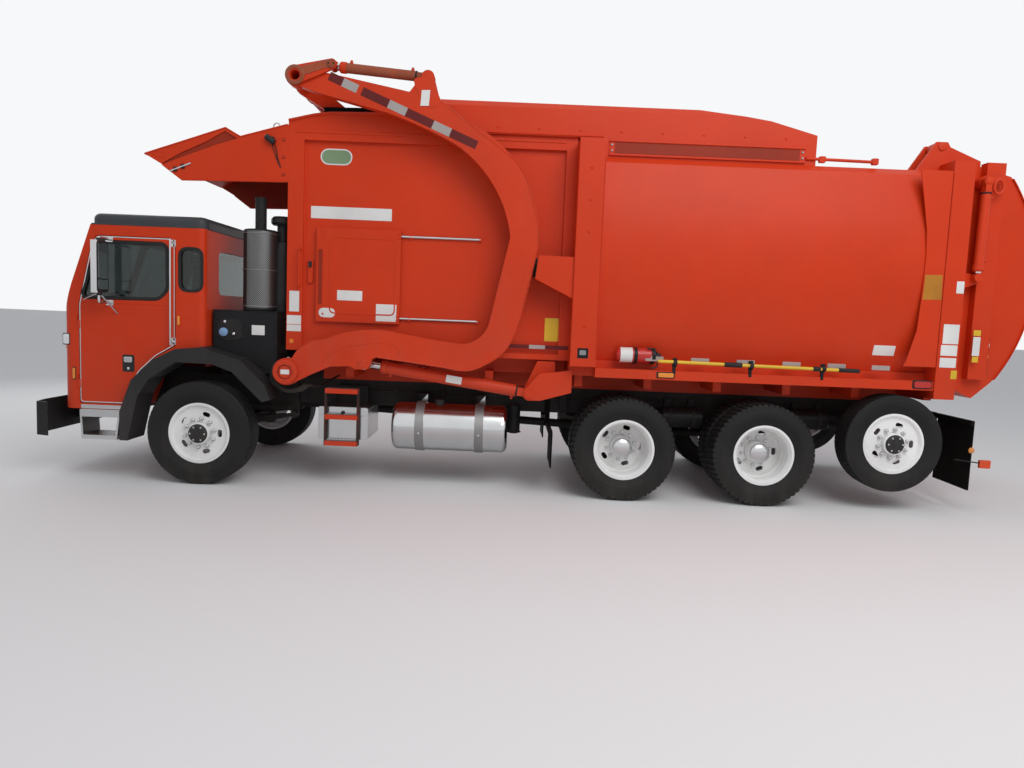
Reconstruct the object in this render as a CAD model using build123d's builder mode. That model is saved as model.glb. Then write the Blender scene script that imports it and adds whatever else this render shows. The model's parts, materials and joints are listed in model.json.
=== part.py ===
from build123d import *
import os

# A four-axle front-loading refuse truck, in millimetres.
# +X runs to the rear, +Y to the truck's right, +Z up, and the ground is z = 0.
# Lengths along the truck are stations: distances behind the front axle.

# Overall places
overall_length = 9750.0
front_overhang = 1640.0
front_axle = front_overhang - overall_length / 2
gap = 6.0
seat_gap = 0.3

# Axles and wheels
drive_axle_stations = (4155.0, 5527.0)
tag_axle_station = 6786.0
tag_axle_lift = 166.0
tyre_radius = 508.0
tag_tyre_radius = 480.0
tyre_width = 280.0
rim_radius = 285.0
flange_radius = 298.0
rim_face = 1215.0
dual_spacing = 330.0
wheel_bore = 110.0
steer_pin_y = 905.0
spindle_radius = 38.0

# Chassis
rail_top = 1020.0
rail_height = 270.0
rail_half = 430.0
rail_flange = 90.0
rail_wall = 10.0
rail_front = -1555.0
rail_rear = 7300.0
cross_stations = (-1150.0, 1150.0, 2300.0, 3400.0, 4841.0, 6200.0, 7240.0)
cross_radius = 55.0
sill_height = 190.0
sill_width = 90.0
sill_start = 1010.0

# Cab
cab_half = 1100.0
cab_wall = 45.0
cab_front = -1390.0
cab_rear = 5.0
cab_floor = 690.0
belt_height = 1620.0
cab_roof_height = 2490.0
roof_front = -1098.0
cab_rear_floor = 1345.0
cap_height = 112.0
tunnel_half = 476.0
tunnel_top = 1300.0
door_gap = 7.0
hinge_station = -1222.0
door_bottom = 753.0
door_top = 2380.0
glass_thickness = 6.0

# Door hinges: a pin and two knuckles at each height
hinge_heights = (900.0, 1480.0)
hinge_knuckle = 40.0
hinge_radius = 14.0
hinge_pin_radius = 7.0

# Fenders
fender_outer = 1212.0
fender_inner = 880.0

# Hopper and body
hopper_half = 955.0
hopper_wall = 45.0
hopper_front = 760.0
hopper_floor = 1345.0
hopper_top = 3600.0
floor_thickness = 30.0
post_width = 154.0
body_front = 3585.0
body_rear = 7330.0
body_wall = 12.0
mid_post_width = 250.0
post_outer = 1220.0
post_top = 3470.0
rear_post_width = 200.0
hood_front = 2228.0
hood_rear = 5902.0
hood_base = 3524.0
hood_top = 3843.0

# Hatch in the hopper's left wall
hatch_front = 1049.0
hatch_rear = 1882.0
hatch_low = 1641.0
hatch_high = 2563.0
hatch_thickness = 12.0
hatch_margin = 40.0

# Loader arms and forks
arm_pivot = (835.0, 1143.0)
arm_inner = 1090.0
arm_outer = 1190.0
torque_radius = 95.0
arm_hub_radius = 132.0
fork_pivot = (891.0, 3929.0)
fork_hub_radius = 96.0
fork_tube_radius = 66.0
fork_tube_bore = 45.0
crank_pin = (1232.0, 4041.0)
crank_outer = 1221.0
fork_base_pin = (2132.0, 3975.0)
lift_lug_pin = (1565.0, 1240.0)
lift_base_pin = (3209.0, 1010.0)
lift_y = 1023.0
lift_bore = 60.0
lift_rod = 35.0
fork_cylinder_radius = 46.0
fork_rod = 26.0
tine_y = 858.0
tine_thickness = 60.0
tine_length = 1120.0
tine_droop = 34.0

# Tailgate
tail_pivot = (7136.0, 3585.0)
tail_front = 7340.0
tail_half = 1050.0
tail_rib_outer = 1140.0
tail_end = overall_length - front_overhang
tail_pin = (7469.0, 3226.0)
tail_lug_pin = (7456.0, 2315.0)
tail_cylinder_y = 1192.0
tail_cylinder_radius = 44.0
tail_rod = 24.0

pin_clearance = 0.4
lift_pin_radius = 28.0
small_pin_radius = 20.0

SIDE = Plane(origin=(front_axle, 0, 0), x_dir=(1, 0, 0), z_dir=(0, -1, 0))
PLAN = Plane(origin=(front_axle, 0, 0), x_dir=(1, 0, 0), z_dir=(0, 0, 1))


def across(station):
    """A plane square to the truck at a station, looking along +X."""
    return Plane(origin=(front_axle + station, 0, 0), x_dir=(0, 1, 0), z_dir=(1, 0, 0))


os.makedirs("parts", exist_ok=True)


def save(piece, name):
    piece.part.label = name
    export_step(piece.part, "parts/" + name + ".step")


def save_sides(piece, name):
    """Write a piece modelled on the left and its mirror image on the right."""
    piece.part.label = name + "_left"
    export_step(piece.part, "parts/" + name + "_left.step")
    twin = mirror(piece.part, about=Plane.XZ)
    twin.label = name + "_right"
    export_step(twin, "parts/" + name + "_right.step")


def polar(centre, radius, degrees):
    """A point at a radius and an angle from +X round a centre."""
    v = Vector(radius, 0).rotate(Axis.Z, degrees)
    return (centre[0] + v.X, centre[1] + v.Y)


# Chassis frame: two channel rails, round cross members and the bumper brackets
with BuildPart() as chassis_frame:
    with BuildSketch(across(rail_front)):
        with Locations((-rail_half + rail_flange / 2, rail_top - rail_height / 2)):
            Rectangle(rail_flange, rail_height)
        with Locations((-rail_half + rail_wall + rail_flange / 2, rail_top - rail_height / 2)):
            Rectangle(rail_flange, rail_height - 2 * rail_wall, mode=Mode.SUBTRACT)
    extrude(amount=rail_rear - rail_front)
    with BuildSketch(SIDE.offset(rail_half - rail_flange)):
        with BuildLine():
            Polyline((-1555, 450), (-1555, 1015), (-1400, 1015), (-1470, 450), close=True)
        make_face()
    extrude(amount=rail_flange)
    with BuildSketch(SIDE.offset(rail_half - rail_wall)):
        with Locations((-1150, (640 + cab_floor - seat_gap) / 2)):
            Rectangle(60, cab_floor - seat_gap - 640)
        with Locations((-1150, 720)):
            Rectangle(60, 160)
    extrude(amount=30)
    with BuildSketch(SIDE.offset(rail_half)):
        with Locations((-1150, (640 + cab_floor - seat_gap) / 2)):
            Rectangle(60, cab_floor - seat_gap - 640)
    extrude(amount=180)
    with BuildSketch(SIDE.offset(rail_half - rail_flange + 5)):
        with Locations((-60, (rail_top - 5 + tunnel_top - cab_wall - seat_gap) / 2)):
            Rectangle(60, tunnel_top - cab_wall - seat_gap - rail_top + 5)
    extrude(amount=rail_flange - 10)
    mirror(about=Plane.XZ)
    with BuildSketch(SIDE):
        with Locations([(s, rail_top - rail_height / 2) for s in cross_stations]):
            Circle(cross_radius)
    extrude(amount=rail_half - rail_wall / 2, both=True)
save(chassis_frame, "chassis_frame")

# Body subframe: sills on the rails with cross bearers and the lift cylinders' base brackets
bearer_stations = (1400.0, 2100.0, 2800.0, 3700.0, 4400.0, 5100.0, 5800.0, 6500.0, 7230.0)
bearer_height = 120.0
lift_nose = 65.0
sill_base = rail_top + seat_gap
sill_top = sill_base + sill_height
with BuildPart() as body_subframe:
    with BuildSketch(across(sill_start)):
        with Locations((-rail_half + sill_width / 2, sill_base + sill_height / 2)):
            Rectangle(sill_width, sill_height)
    extrude(amount=rail_rear - sill_start)
    with BuildSketch(SIDE.offset(lift_y - lift_bore - gap - 20)):
        with BuildLine():
            Polyline((3152, 1042), (3282, 1330), (3458, 1330), (3458, 1009), (3222, 946), close=True)
        make_face()
        with Locations(lift_base_pin):
            Circle(lift_nose)
    extrude(amount=20)
    with BuildSketch(SIDE.offset(lift_y + lift_bore + gap)):
        with BuildLine():
            Polyline((3158, 1050), (3305, 1218), (3452, 1234), (3620, 1262), (3620, 1038), (3317, 948),
                     (3222, 946), close=True)
        make_face()
        with Locations(lift_base_pin):
            Circle(lift_nose)
    extrude(amount=20)
    with BuildSketch(SIDE.offset(lift_y + lift_bore + gap + 19)):
        with Locations(lift_base_pin):
            Circle(lift_nose - 19)
    extrude(amount=11)
    with BuildSketch(SIDE.offset(rail_half)):
        with Locations((3390, 1120)):
            Rectangle(120, 160)
    extrude(amount=lift_y + lift_bore + gap + 10 - rail_half)
    with BuildSketch(SIDE.offset(lift_y - lift_bore - gap - 10)):
        with Locations(lift_base_pin):
            Circle(28)
    extrude(amount=2 * (lift_bore + gap + 10))
    mirror(about=Plane.XZ)
    with BuildSketch(SIDE):
        with Locations([(s, sill_top - bearer_height / 2) for s in bearer_stations]):
            Rectangle(80, bearer_height)
    extrude(amount=940, both=True)
save(body_subframe, "body_subframe")

# Pillow blocks that carry the torque tube on the rails
block_base = rail_top + seat_gap
with BuildPart() as arm_bearings:
    with BuildSketch(SIDE.offset(rail_half - rail_flange)):
        with BuildLine():
            Polyline((640, block_base), (640, 1120), (700, 1275), (970, 1275), (1005, 1120),
                     (1005, block_base), close=True)
        make_face()
        with Locations(arm_pivot):
            Circle(torque_radius + pin_clearance, mode=Mode.SUBTRACT)
    extrude(amount=rail_flange)
    mirror(about=Plane.XZ)
save(arm_bearings, "arm_bearings")

# Engine: one block between the rails under the cab
with BuildPart() as engine:
    with BuildSketch(PLAN.offset(640)):
        with Locations((150, 0)):
            Rectangle(900, 2 * (rail_half - rail_flange - seat_gap))
    extrude(amount=440)
    chamfer(engine.edges().filter_by(Axis.X), 60)
save(engine, "engine")

# Front axle beam with its two leaf springs' seats
beam_z = tyre_radius - 60
with BuildPart() as front_axle_beam:
    with BuildSketch(SIDE):
        with Locations((0, beam_z)):
            Rectangle(110, 120)
            with Locations((-45, 0), (45, 0)):
                Rectangle(40, 70, mode=Mode.SUBTRACT)
    extrude(amount=steer_pin_y - 60, both=True)
    with BuildSketch(PLAN.offset(beam_z - 70)):
        with Locations((0, -steer_pin_y + 20), (0, steer_pin_y - 20)):
            Circle(60)
    extrude(amount=140)
    with BuildSketch(PLAN.offset(beam_z - 71)):
        with Locations((0, -steer_pin_y), (0, steer_pin_y)):
            Circle(26 + pin_clearance)
    extrude(amount=142, mode=Mode.SUBTRACT)
save(front_axle_beam, "front_axle")

# Springs: a leaf pack over each axle end, hung from the rails by its eyes
spring_y = 480.0
with BuildPart() as springs:
    for station, height, half_span in (
            (0.0, beam_z + 60 + seat_gap, 720.0),
            (drive_axle_stations[0], tyre_radius + 105 + seat_gap, 560.0),
            (drive_axle_stations[1], tyre_radius + 105 + seat_gap, 560.0),
            (tag_axle_station, tyre_radius + tag_axle_lift + 60 + seat_gap, 440.0)):
        with BuildSketch(SIDE.offset(spring_y - 45)):
            with BuildLine():
                ThreePointArc((station - half_span, height + 110), (station, height),
                              (station + half_span, height + 110))
                Line((station + half_span, height + 110), (station + half_span, height + 130))
                ThreePointArc((station + half_span, height + 130), (station, height + 90),
                              (station - half_span, height + 130))
                Line((station - half_span, height + 130), (station - half_span, height + 110))
            make_face()
            with Locations((station - half_span, height + 120), (station + half_span, height + 120)):
                Circle(38)
        extrude(amount=90)
    with BuildSketch(SIDE.offset(rail_half + seat_gap)):
        for station, half_span, foot in ((0.0, 720.0, beam_z + 180), (drive_axle_stations[0], 560.0, 733),
                                         (drive_axle_stations[1], 560.0, 733),
                                         (tag_axle_station, 440.0, tyre_radius + tag_axle_lift + 180)):
            with Locations((station - half_span, (foot + 960) / 2), (station + half_span, (foot + 960) / 2)):
                Rectangle(70, 960 - foot)
    extrude(amount=40)
    mirror(about=Plane.XZ)
save(springs, "springs")


# Rear axles: two drive housings with their differentials and the tag axle's tube
def axle_tube(station, height, outer):
    """A round axle tube right across the truck."""
    with BuildSketch(SIDE) as section:
        with Locations((station, height)):
            Circle(60)
    extrude(section.sketch, amount=outer, both=True)


hub_inner = 590.0
with BuildPart() as rear_axles:
    for station in drive_axle_stations:
        axle_tube(station, tyre_radius, hub_inner)
        with BuildSketch(across(station - 190)):
            with Locations((0, tyre_radius)):
                Circle(150)
        extrude(amount=190, taper=-8)
        with BuildSketch(across(station)):
            with Locations((0, tyre_radius)):
                Circle(176)
        extrude(amount=190, taper=16)
        with BuildSketch(SIDE.offset(spring_y - 45)):
            with Locations((station, tyre_radius + 50)):
                Rectangle(150, 110)
        extrude(amount=90)
        with BuildSketch(SIDE.offset(-spring_y - 45)):
            with Locations((station, tyre_radius + 50)):
                Rectangle(150, 110)
        extrude(amount=90)
    axle_tube(tag_axle_station, tyre_radius + tag_axle_lift, 905)
    with BuildSketch(SIDE):
        for station in drive_axle_stations:
            with Locations((station, tyre_radius)):
                Circle(spindle_radius)
        with Locations((tag_axle_station, tyre_radius + tag_axle_lift)):
            Circle(spindle_radius)
    extrude(amount=rim_face - 120, both=True)
save(rear_axles, "rear_axles")


# Wheels. Each wheel's profile is drawn from its own axis: x is the distance out along the
# axle from the flange plane (negative is inboard), y the radius.
def tyre_ring(radius, centre):
    """A tyre's closed ring about the axle, round in the shoulder and full in the wall."""
    half = tyre_width / 2
    shoulder = radius - 26
    with BuildSketch(Plane.XY) as section:
        with BuildLine():
            Line((centre - 105, rim_radius + seat_gap), (centre + 105, rim_radius + seat_gap))
            Line((centre + 105, rim_radius + seat_gap), (centre + 112, rim_radius + 30))
            ThreePointArc((centre + 112, rim_radius + 30), (centre + half, (rim_radius + radius) / 2),
                          (centre + half - 18, shoulder))
            ThreePointArc((centre + half - 18, shoulder), (centre + half - 24, radius - 8),
                          (centre + half - 42, radius - 2))
            ThreePointArc((centre + half - 42, radius - 2), (centre, radius),
                          (centre - half + 42, radius - 2))
            ThreePointArc((centre - half + 42, radius - 2), (centre - half + 24, radius - 8),
                          (centre - half + 18, shoulder))
            ThreePointArc((centre - half + 18, shoulder), (centre - half, (rim_radius + radius) / 2),
                          (centre - 112, rim_radius + 30))
            Line((centre - 112, rim_radius + 30), (centre - 105, rim_radius + seat_gap))
        make_face()
    revolve(section.sketch, axis=Axis.X)


def rim_barrel():
    """A drop-centre rim between its two flanges, behind the flange plane."""
    back = -rim_width
    seat = rim_radius
    with BuildSketch(Plane.XY) as section:
        with BuildLine():
            Polyline((0, flange_radius), (0, seat - 10), (-40, 252), (back + 40, 252), (back, seat - 10),
                     (back, flange_radius), (back + 11, flange_radius), (back + 14, seat),
                     (back + 50, seat - 3), (back + 70, 264), (-90, 264), (-60, seat - 3), (-14, seat),
                     (-11, flange_radius), close=True)
        make_face()
    revolve(section.sketch, axis=Axis.X)


def disc_ring(points):
    """The wheel's pressed disc, from its section points."""
    with BuildSketch(Plane.XY) as section:
        with BuildLine():
            Polyline(*points, close=True)
        make_face()
    revolve(section.sketch, axis=Axis.X)


rim_width = 238.0
disc_thickness = 12.0
disc_face = -33.0
dual_plane = -rim_width / 2 - dual_spacing / 2
hand_hole_count = 5
hand_hole_radius = 190.0


def hand_holes(disc):
    """Oval hand holes through the disc, evenly round the axle."""
    with BuildSketch(Plane.YZ.offset(disc - 5)) as holes:
        with PolarLocations(hand_hole_radius, hand_hole_count):
            SlotOverall(76, 44, rotation=90)
    extrude(holes.sketch, amount=30, mode=Mode.SUBTRACT)


def wheel_place(side, station, height):
    """The frame of a wheel end: its axle line points out to the truck's left or right."""
    return Location(Plane(origin=(front_axle + station, side * rim_face, height),
                          x_dir=(0, side, 0), z_dir=(0, 0, 1)))


tyre_centre = -rim_width / 2
wheel_ends = {
    "front": (0.0, tyre_radius, tyre_radius, "steer"),
    "drive_front": (drive_axle_stations[0], tyre_radius, tyre_radius, "dual"),
    "drive_rear": (drive_axle_stations[1], tyre_radius, tyre_radius, "dual"),
    "tag": (tag_axle_station, tyre_radius + tag_axle_lift, tag_tyre_radius, "steer"),
}

with BuildPart() as steer_wheel:
    rim_barrel()
    disc_ring([(disc_face, wheel_bore), (disc_face, 258), (disc_face - disc_thickness, 258),
               (disc_face - disc_thickness, wheel_bore)])
    hand_holes(disc_face - disc_thickness)
    with BuildSketch(Plane.XY):
        with BuildLine():
            Polyline((-235, spindle_radius + pin_clearance), (-235, 120), (-120, 140),
                     (disc_face - disc_thickness, 140), (disc_face - disc_thickness, wheel_bore - 1),
                     (20, wheel_bore - 5), (35, wheel_bore - 30), (35, 0), (25, 0),
                     (25, spindle_radius + pin_clearance), close=True)
        make_face()
    revolve(axis=Axis.X)

with BuildPart() as dual_wheel:
    rim_barrel()
    disc_ring([(-190, 255), (-190, 242), (-250, 232), (dual_plane + disc_thickness, 214),
               (dual_plane + disc_thickness, wheel_bore), (dual_plane, wheel_bore), (dual_plane, 224),
               (-258, 242), (-200, 257)])
    hand_holes(dual_plane)
    mirror(about=Plane.YZ.offset(dual_plane))
    with BuildSketch(Plane.XY):
        with BuildLine():
            Polyline((-620, 61), (-620, 130), (dual_plane - disc_thickness, 140),
                     (dual_plane - disc_thickness, wheel_bore - 1), (-140, wheel_bore - 8),
                     (-118, wheel_bore - 40), (-110, 0), (-119.5, 0),
                     (-119.5, spindle_radius + pin_clearance), (-560, spindle_radius + pin_clearance),
                     (-560, 61), close=True)
        make_face()
    revolve(axis=Axis.X)

for end, (station, height, radius, kind) in wheel_ends.items():
    with BuildPart() as tyre_model:
        tyre_ring(radius, tyre_centre)
        if kind == "dual":
            tyre_ring(radius, tyre_centre - dual_spacing)
    wheel_model = dual_wheel if kind == "dual" else steer_wheel
    for side, side_name in ((-1, "left"), (1, "right")):
        place = wheel_place(side, station, height)
        for model, kind_name in ((tyre_model, "tyre"), (wheel_model, "wheel")):
            placed = place * model.part
            placed.label = kind_name + "_" + end + "_" + side_name
            export_step(placed, "parts/" + placed.label + ".step")

# Steering knuckles: a fork round the beam's end, the kingpin and the wheel spindle
knuckle_back = rim_face - 235
with BuildPart() as knuckle:
    for low, high in ((beam_z - 130, beam_z - 76), (beam_z + 76, beam_z + 130)):
        with BuildSketch(PLAN.offset(low)):
            with Locations((0, -steer_pin_y)):
                Circle(55)
            with Locations((0, -steer_pin_y - 35)):
                Rectangle(100, 60)
        extrude(amount=high - low)
    with BuildSketch(PLAN.offset(beam_z - 130)):
        with Locations((0, -steer_pin_y)):
            Circle(26)
    extrude(amount=260)
    with BuildSketch(SIDE.offset(steer_pin_y + 64)):
        with Locations((0, beam_z)):
            Rectangle(110, 260)
        with Locations((0, tyre_radius)):
            Circle(80)
    extrude(amount=knuckle_back - steer_pin_y - 64 - gap)
    with BuildSketch(SIDE.offset(steer_pin_y + 64)):
        with Locations((0, tyre_radius)):
            Circle(spindle_radius)
    extrude(amount=rim_face + 15 - steer_pin_y - 64)
save_sides(knuckle, "knuckle")

# Cab shell
cab_outline = [(cab_front, cab_floor), (cab_front, belt_height), (roof_front, cab_roof_height),
               (cab_rear, cab_roof_height), (cab_rear, cab_rear_floor), (-239, 1319), (-461, 1203),
               (-666, 1000), (-777, cab_floor)]
door_outline = [(hinge_station + door_gap, door_bottom), (hinge_station + door_gap, 1720), (-1090, 2290),
                (-1040, door_top), (-330, door_top), (-284, 2330), (-284, 1350), (-471, 1237),
                (-640, 1075), (-770, 800), (-777, door_bottom)]
window_outline = [(-1187, 1792), (-1026, 2300), (-990, 2320), (-400, 2320), (-365, 2285), (-361, 1890),
                  (-445, 1800)]


def hinge_block(side, low, length, radius, mode):
    """A round block on a door's hinge line, from a height upwards."""
    with BuildSketch(PLAN.offset(low)) as section:
        with Locations((hinge_station, side * cab_half)):
            Circle(radius)
    extrude(section.sketch, amount=length, mode=mode)


def outline_face(points, radius=0.0):
    """A closed outline on the current sketch, with its corners rounded if a radius is given."""
    with BuildLine() as outline:
        if radius:
            FilletPolyline(*points, radius=radius, close=True)
        else:
            Polyline(*points, close=True)
    make_face(outline.edges())


with BuildPart() as cab_inside:
    with BuildSketch(SIDE):
        outline_face(cab_outline)
        offset(amount=-cab_wall, kind=Kind.INTERSECTION)
    extrude(amount=cab_half - cab_wall, both=True)
    with BuildSketch(across(cab_front)):
        with Locations((0, tunnel_top / 2)):
            Rectangle(2 * (tunnel_half + cab_wall), tunnel_top)
    extrude(amount=cab_rear - cab_front, mode=Mode.SUBTRACT)

screen_slope = Vector(roof_front - cab_front, 0, cab_roof_height - belt_height).normalized()
screen_plane = Plane(origin=(front_axle + cab_front, 0, belt_height), x_dir=(0, -1, 0),
                     z_dir=(-screen_slope.Z, 0, screen_slope.X))
screen_mid = 433.0
screen_tall = 740.0
with BuildPart() as cab_shell:
    with BuildSketch(SIDE):
        outline_face(cab_outline)
    extrude(amount=cab_half, both=True)
    fillet(cab_shell.edges().filter_by(Axis.Z).group_by(Axis.X)[0], 110)
    fillet(cab_shell.edges().filter_by(Axis.Z).group_by(Axis.X)[-1], 60)
    add(cab_inside.part, mode=Mode.SUBTRACT)
    with BuildSketch(across(cab_front - 1)):
        with Locations((0, (tunnel_top - cab_wall) / 2)):
            Rectangle(2 * tunnel_half, tunnel_top - cab_wall)
    extrude(amount=cab_rear - cab_front + 2, mode=Mode.SUBTRACT)
    with BuildSketch(SIDE):
        outline_face(door_outline)
        offset(amount=door_gap, kind=Kind.INTERSECTION)
    extrude(amount=cab_half + 1, both=True, mode=Mode.SUBTRACT)
    with BuildSketch(SIDE):
        with Locations((-128, 2090)):
            RectangleRounded(210, 400, 60)
    extrude(amount=cab_half + 1, both=True, mode=Mode.SUBTRACT)
    with BuildSketch(across(cab_rear - cab_wall - 1)):
        with Locations((0, 2080)):
            RectangleRounded(1500, 440, 70)
    extrude(amount=cab_wall + 2, mode=Mode.SUBTRACT)
    with BuildSketch(screen_plane.offset(60)):
        with Locations((-510, screen_mid), (510, screen_mid)):
            RectangleRounded(960, screen_tall, 60)
    extrude(amount=-200, mode=Mode.SUBTRACT)
    add(cab_inside.part, mode=Mode.SUBTRACT)
    for side in (-1, 1):
        for low in hinge_heights:
            hinge_block(side, low + hinge_knuckle, 2 * hinge_knuckle + 4, hinge_radius + 4, Mode.SUBTRACT)
            hinge_block(side, low, hinge_knuckle, hinge_radius, Mode.ADD)
            hinge_block(side, low, 2 * hinge_knuckle + 2, hinge_pin_radius, Mode.ADD)
save(cab_shell, "cab_shell")

# Cab roof cap
with BuildPart() as cab_roof:
    with BuildSketch(PLAN.offset(cab_roof_height + seat_gap)):
        with Locations(((roof_front + cab_rear) / 2 + 4, 0)):
            RectangleRounded(cab_rear - roof_front + 10, 2 * cab_half - 6, 90)
    extrude(amount=cap_height)
    fillet(cab_roof.faces().sort_by(Axis.Z)[-1].edges(), 60)
save(cab_roof, "cab_roof")

# Cab glass: windscreen halves, quarter windows and the rear window
with BuildPart() as cab_glass:
    with BuildSketch(SIDE.offset(cab_half - cab_wall / 2)):
        with Locations((-128, 2090)):
            RectangleRounded(210 - 2 * seat_gap, 400 - 2 * seat_gap, 60 - seat_gap)
    extrude(amount=glass_thickness)
    mirror(about=Plane.XZ)
    with BuildSketch(across(cab_rear - cab_wall / 2)):
        with Locations((0, 2080)):
            RectangleRounded(1500 - 2 * seat_gap, 440 - 2 * seat_gap, 70 - seat_gap)
    extrude(amount=glass_thickness)
    with BuildSketch(screen_plane.offset(-cab_wall / 2)):
        with Locations((-510, screen_mid), (510, screen_mid)):
            RectangleRounded(960 - 2 * seat_gap, screen_tall - 2 * seat_gap, 60 - seat_gap)
    extrude(amount=glass_thickness)
save(cab_glass, "cab_glass")

# Doors with their glass and mirrors, modelled on the left
mirror_station = -915.0
mirror_reach = 190.0
arm_radius = 13.0
with BuildPart() as door:
    with BuildSketch(SIDE.offset(cab_half - cab_wall)):
        outline_face(door_outline)
    extrude(amount=cab_wall)
    front_inner = (door.edges().filter_by(Axis.Z)
                   .filter_by(lambda e: abs(e.center().Y + cab_half - cab_wall) < 1).sort_by(Axis.X)[0])
    chamfer(front_inner, cab_wall - 2)
    with BuildSketch(SIDE.offset(cab_half - cab_wall - 1)):
        outline_face(window_outline, 30)
    extrude(amount=cab_wall + 2, mode=Mode.SUBTRACT)
    for low in hinge_heights:
        knuckle_low = low + hinge_knuckle + 2 * seat_gap
        hinge_block(-1, low - 4, hinge_knuckle + 4 + 2 * seat_gap, hinge_radius + 4, Mode.SUBTRACT)
        hinge_block(-1, knuckle_low, hinge_knuckle, hinge_radius, Mode.ADD)
        hinge_block(-1, knuckle_low - 1, hinge_knuckle + 2, hinge_pin_radius + pin_clearance, Mode.SUBTRACT)
save_sides(door, "door")

with BuildPart() as door_glass:
    with BuildSketch(SIDE.offset(cab_half - cab_wall / 2)):
        outline_face(window_outline, 30)
        offset(amount=-seat_gap)
    extrude(amount=glass_thickness)
save_sides(door_glass, "door_glass")

with BuildPart() as mirror_set:
    mirror_x = front_axle + mirror_station
    with BuildSketch(PLAN.offset(1830)):
        with Locations((mirror_station, -cab_half - mirror_reach)):
            RectangleRounded(70, 200, 30)
    extrude(amount=490)
    for door_z, head_z in ((2350, 2310), (1740, 1840)):
        with BuildLine() as arm_line:
            FilletPolyline((mirror_x, -cab_half - seat_gap, door_z),
                           (mirror_x, -cab_half - mirror_reach, door_z),
                           (mirror_x, -cab_half - mirror_reach, head_z), radius=20)
        with BuildSketch(Plane(arm_line.line @ 0, z_dir=arm_line.line % 0)):
            Circle(arm_radius)
        sweep(path=arm_line.line)
save_sides(mirror_set, "mirror")

# Seats, each a cushion and a back on a pedestal
with BuildPart() as seats:
    with BuildSketch(SIDE.offset(560)):
        with BuildLine():
            FilletPolyline((-560, 1560), (-560, 1660), (-190, 1650), (-160, 2280), (-60, 2280), (-60, 1560),
                           radius=25, close=True)
        make_face()
        with BuildLine():
            Polyline((-420, 1276.7), (-241, 1369.2), (-120, 1377.7), (-120, 1561), (-420, 1561), close=True)
        make_face()
    extrude(amount=440)
    mirror(about=Plane.XZ)
save(seats, "seats")

# Dashboard with the steering column and wheel
with BuildPart() as dashboard:
    with BuildSketch(SIDE):
        with BuildLine():
            Polyline((cab_front + cab_wall + seat_gap, 1330),
                     (cab_front + cab_wall + seat_gap, 1600), (-1180, 1600),
                     (-1040, 1520), (-1060, 1330), close=True)
        make_face()
    extrude(amount=cab_half - cab_wall - 60, both=True)
    column_plane = Plane(origin=(front_axle - 1090, -650, 1520), x_dir=(0, 1, 0), z_dir=(0.62, 0, 0.78))
    with BuildSketch(column_plane):
        Circle(28)
    extrude(amount=230)
    with BuildSketch(column_plane.offset(200)):
        Circle(230)
        Circle(200, mode=Mode.SUBTRACT)
        Rectangle(410, 44)
        Circle(60)
    extrude(amount=26)
save(dashboard, "dashboard")

# Bumper: a channel with swept ends
with BuildPart() as bumper:
    with BuildSketch(PLAN.offset(426)):
        with BuildLine():
            Polyline((-1640, -1000), (-1640, 1000), (-1600, 1180), (-1470, 1220), (-1470, 1210),
                     (-1592, 1170), (-1628, 996), (-1628, -996), (-1592, -1170), (-1470, -1210),
                     (-1470, -1220), (-1600, -1180), close=True)
        make_face()
    extrude(amount=330)
    with BuildSketch(SIDE.offset(rail_half - rail_flange)):
        with Locations((-1592, 600)):
            Rectangle(73.4, 200)
    extrude(amount=rail_flange)
    with BuildSketch(SIDE.offset(-rail_half)):
        with Locations((-1592, 600)):
            Rectangle(73.4, 200)
    extrude(amount=rail_flange)
save(bumper, "bumper")

# Fenders: a faceted band round each front wheel
fender_band = [(-778, 406), (-778, cab_floor + 10), (-672, 1010), (-464, 1212), (-240, 1330), (12, 1350),
               (148, 1305), (390, 1238), (635, 1004), (685, 859), (607, 836), (314, 1118), (119, 1188),
               (-229, 1193), (-482, 1027), (-599, 856), (-700, 406)]
with BuildSketch() as cab_clearance:
    outline_face(cab_outline)
    offset(amount=seat_gap, kind=Kind.INTERSECTION)
with BuildSketch() as fender_profile:
    outline_face(fender_band)
    add(cab_clearance.sketch, mode=Mode.SUBTRACT)
with BuildPart() as fenders:
    with BuildSketch(SIDE.offset(fender_inner)):
        add(fender_profile.sketch)
    extrude(amount=fender_outer - fender_inner)
    mirror(about=Plane.XZ)
save(fenders, "fenders")

# Cab steps: a box tread under each door
with BuildPart() as cab_steps:
    with BuildSketch(SIDE.offset(860)):
        with BuildLine():
            Polyline((-1190, cab_floor - seat_gap), (-800, cab_floor - seat_gap), (-800, 640), (-830, 400),
                     (-1175, 400), (-1190, 640), close=True)
        make_face()
        with BuildLine():
            Polyline((-1170, 620), (-822, 620), (-845, 440), (-1158, 440), close=True)
        make_face(mode=Mode.SUBTRACT)
    extrude(amount=300)
    mirror(about=Plane.XZ)
save(cab_steps, "cab_steps")

# Side covers behind the cab, over the fenders' rear slope
with BuildSketch() as fender_clearance:
    add(fender_profile.sketch)
    offset(amount=seat_gap, kind=Kind.INTERSECTION)
with BuildPart() as side_covers:
    with BuildSketch(SIDE.offset(600)):
        outline_face([(29, 1716), (665, 1716), (665, 1100), (530, 1085), (300, 1240), (29, 1320)])
        add(fender_clearance.sketch, mode=Mode.SUBTRACT)
    extrude(amount=350)
    mirror(about=Plane.XZ)
save(side_covers, "side_covers")

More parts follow.
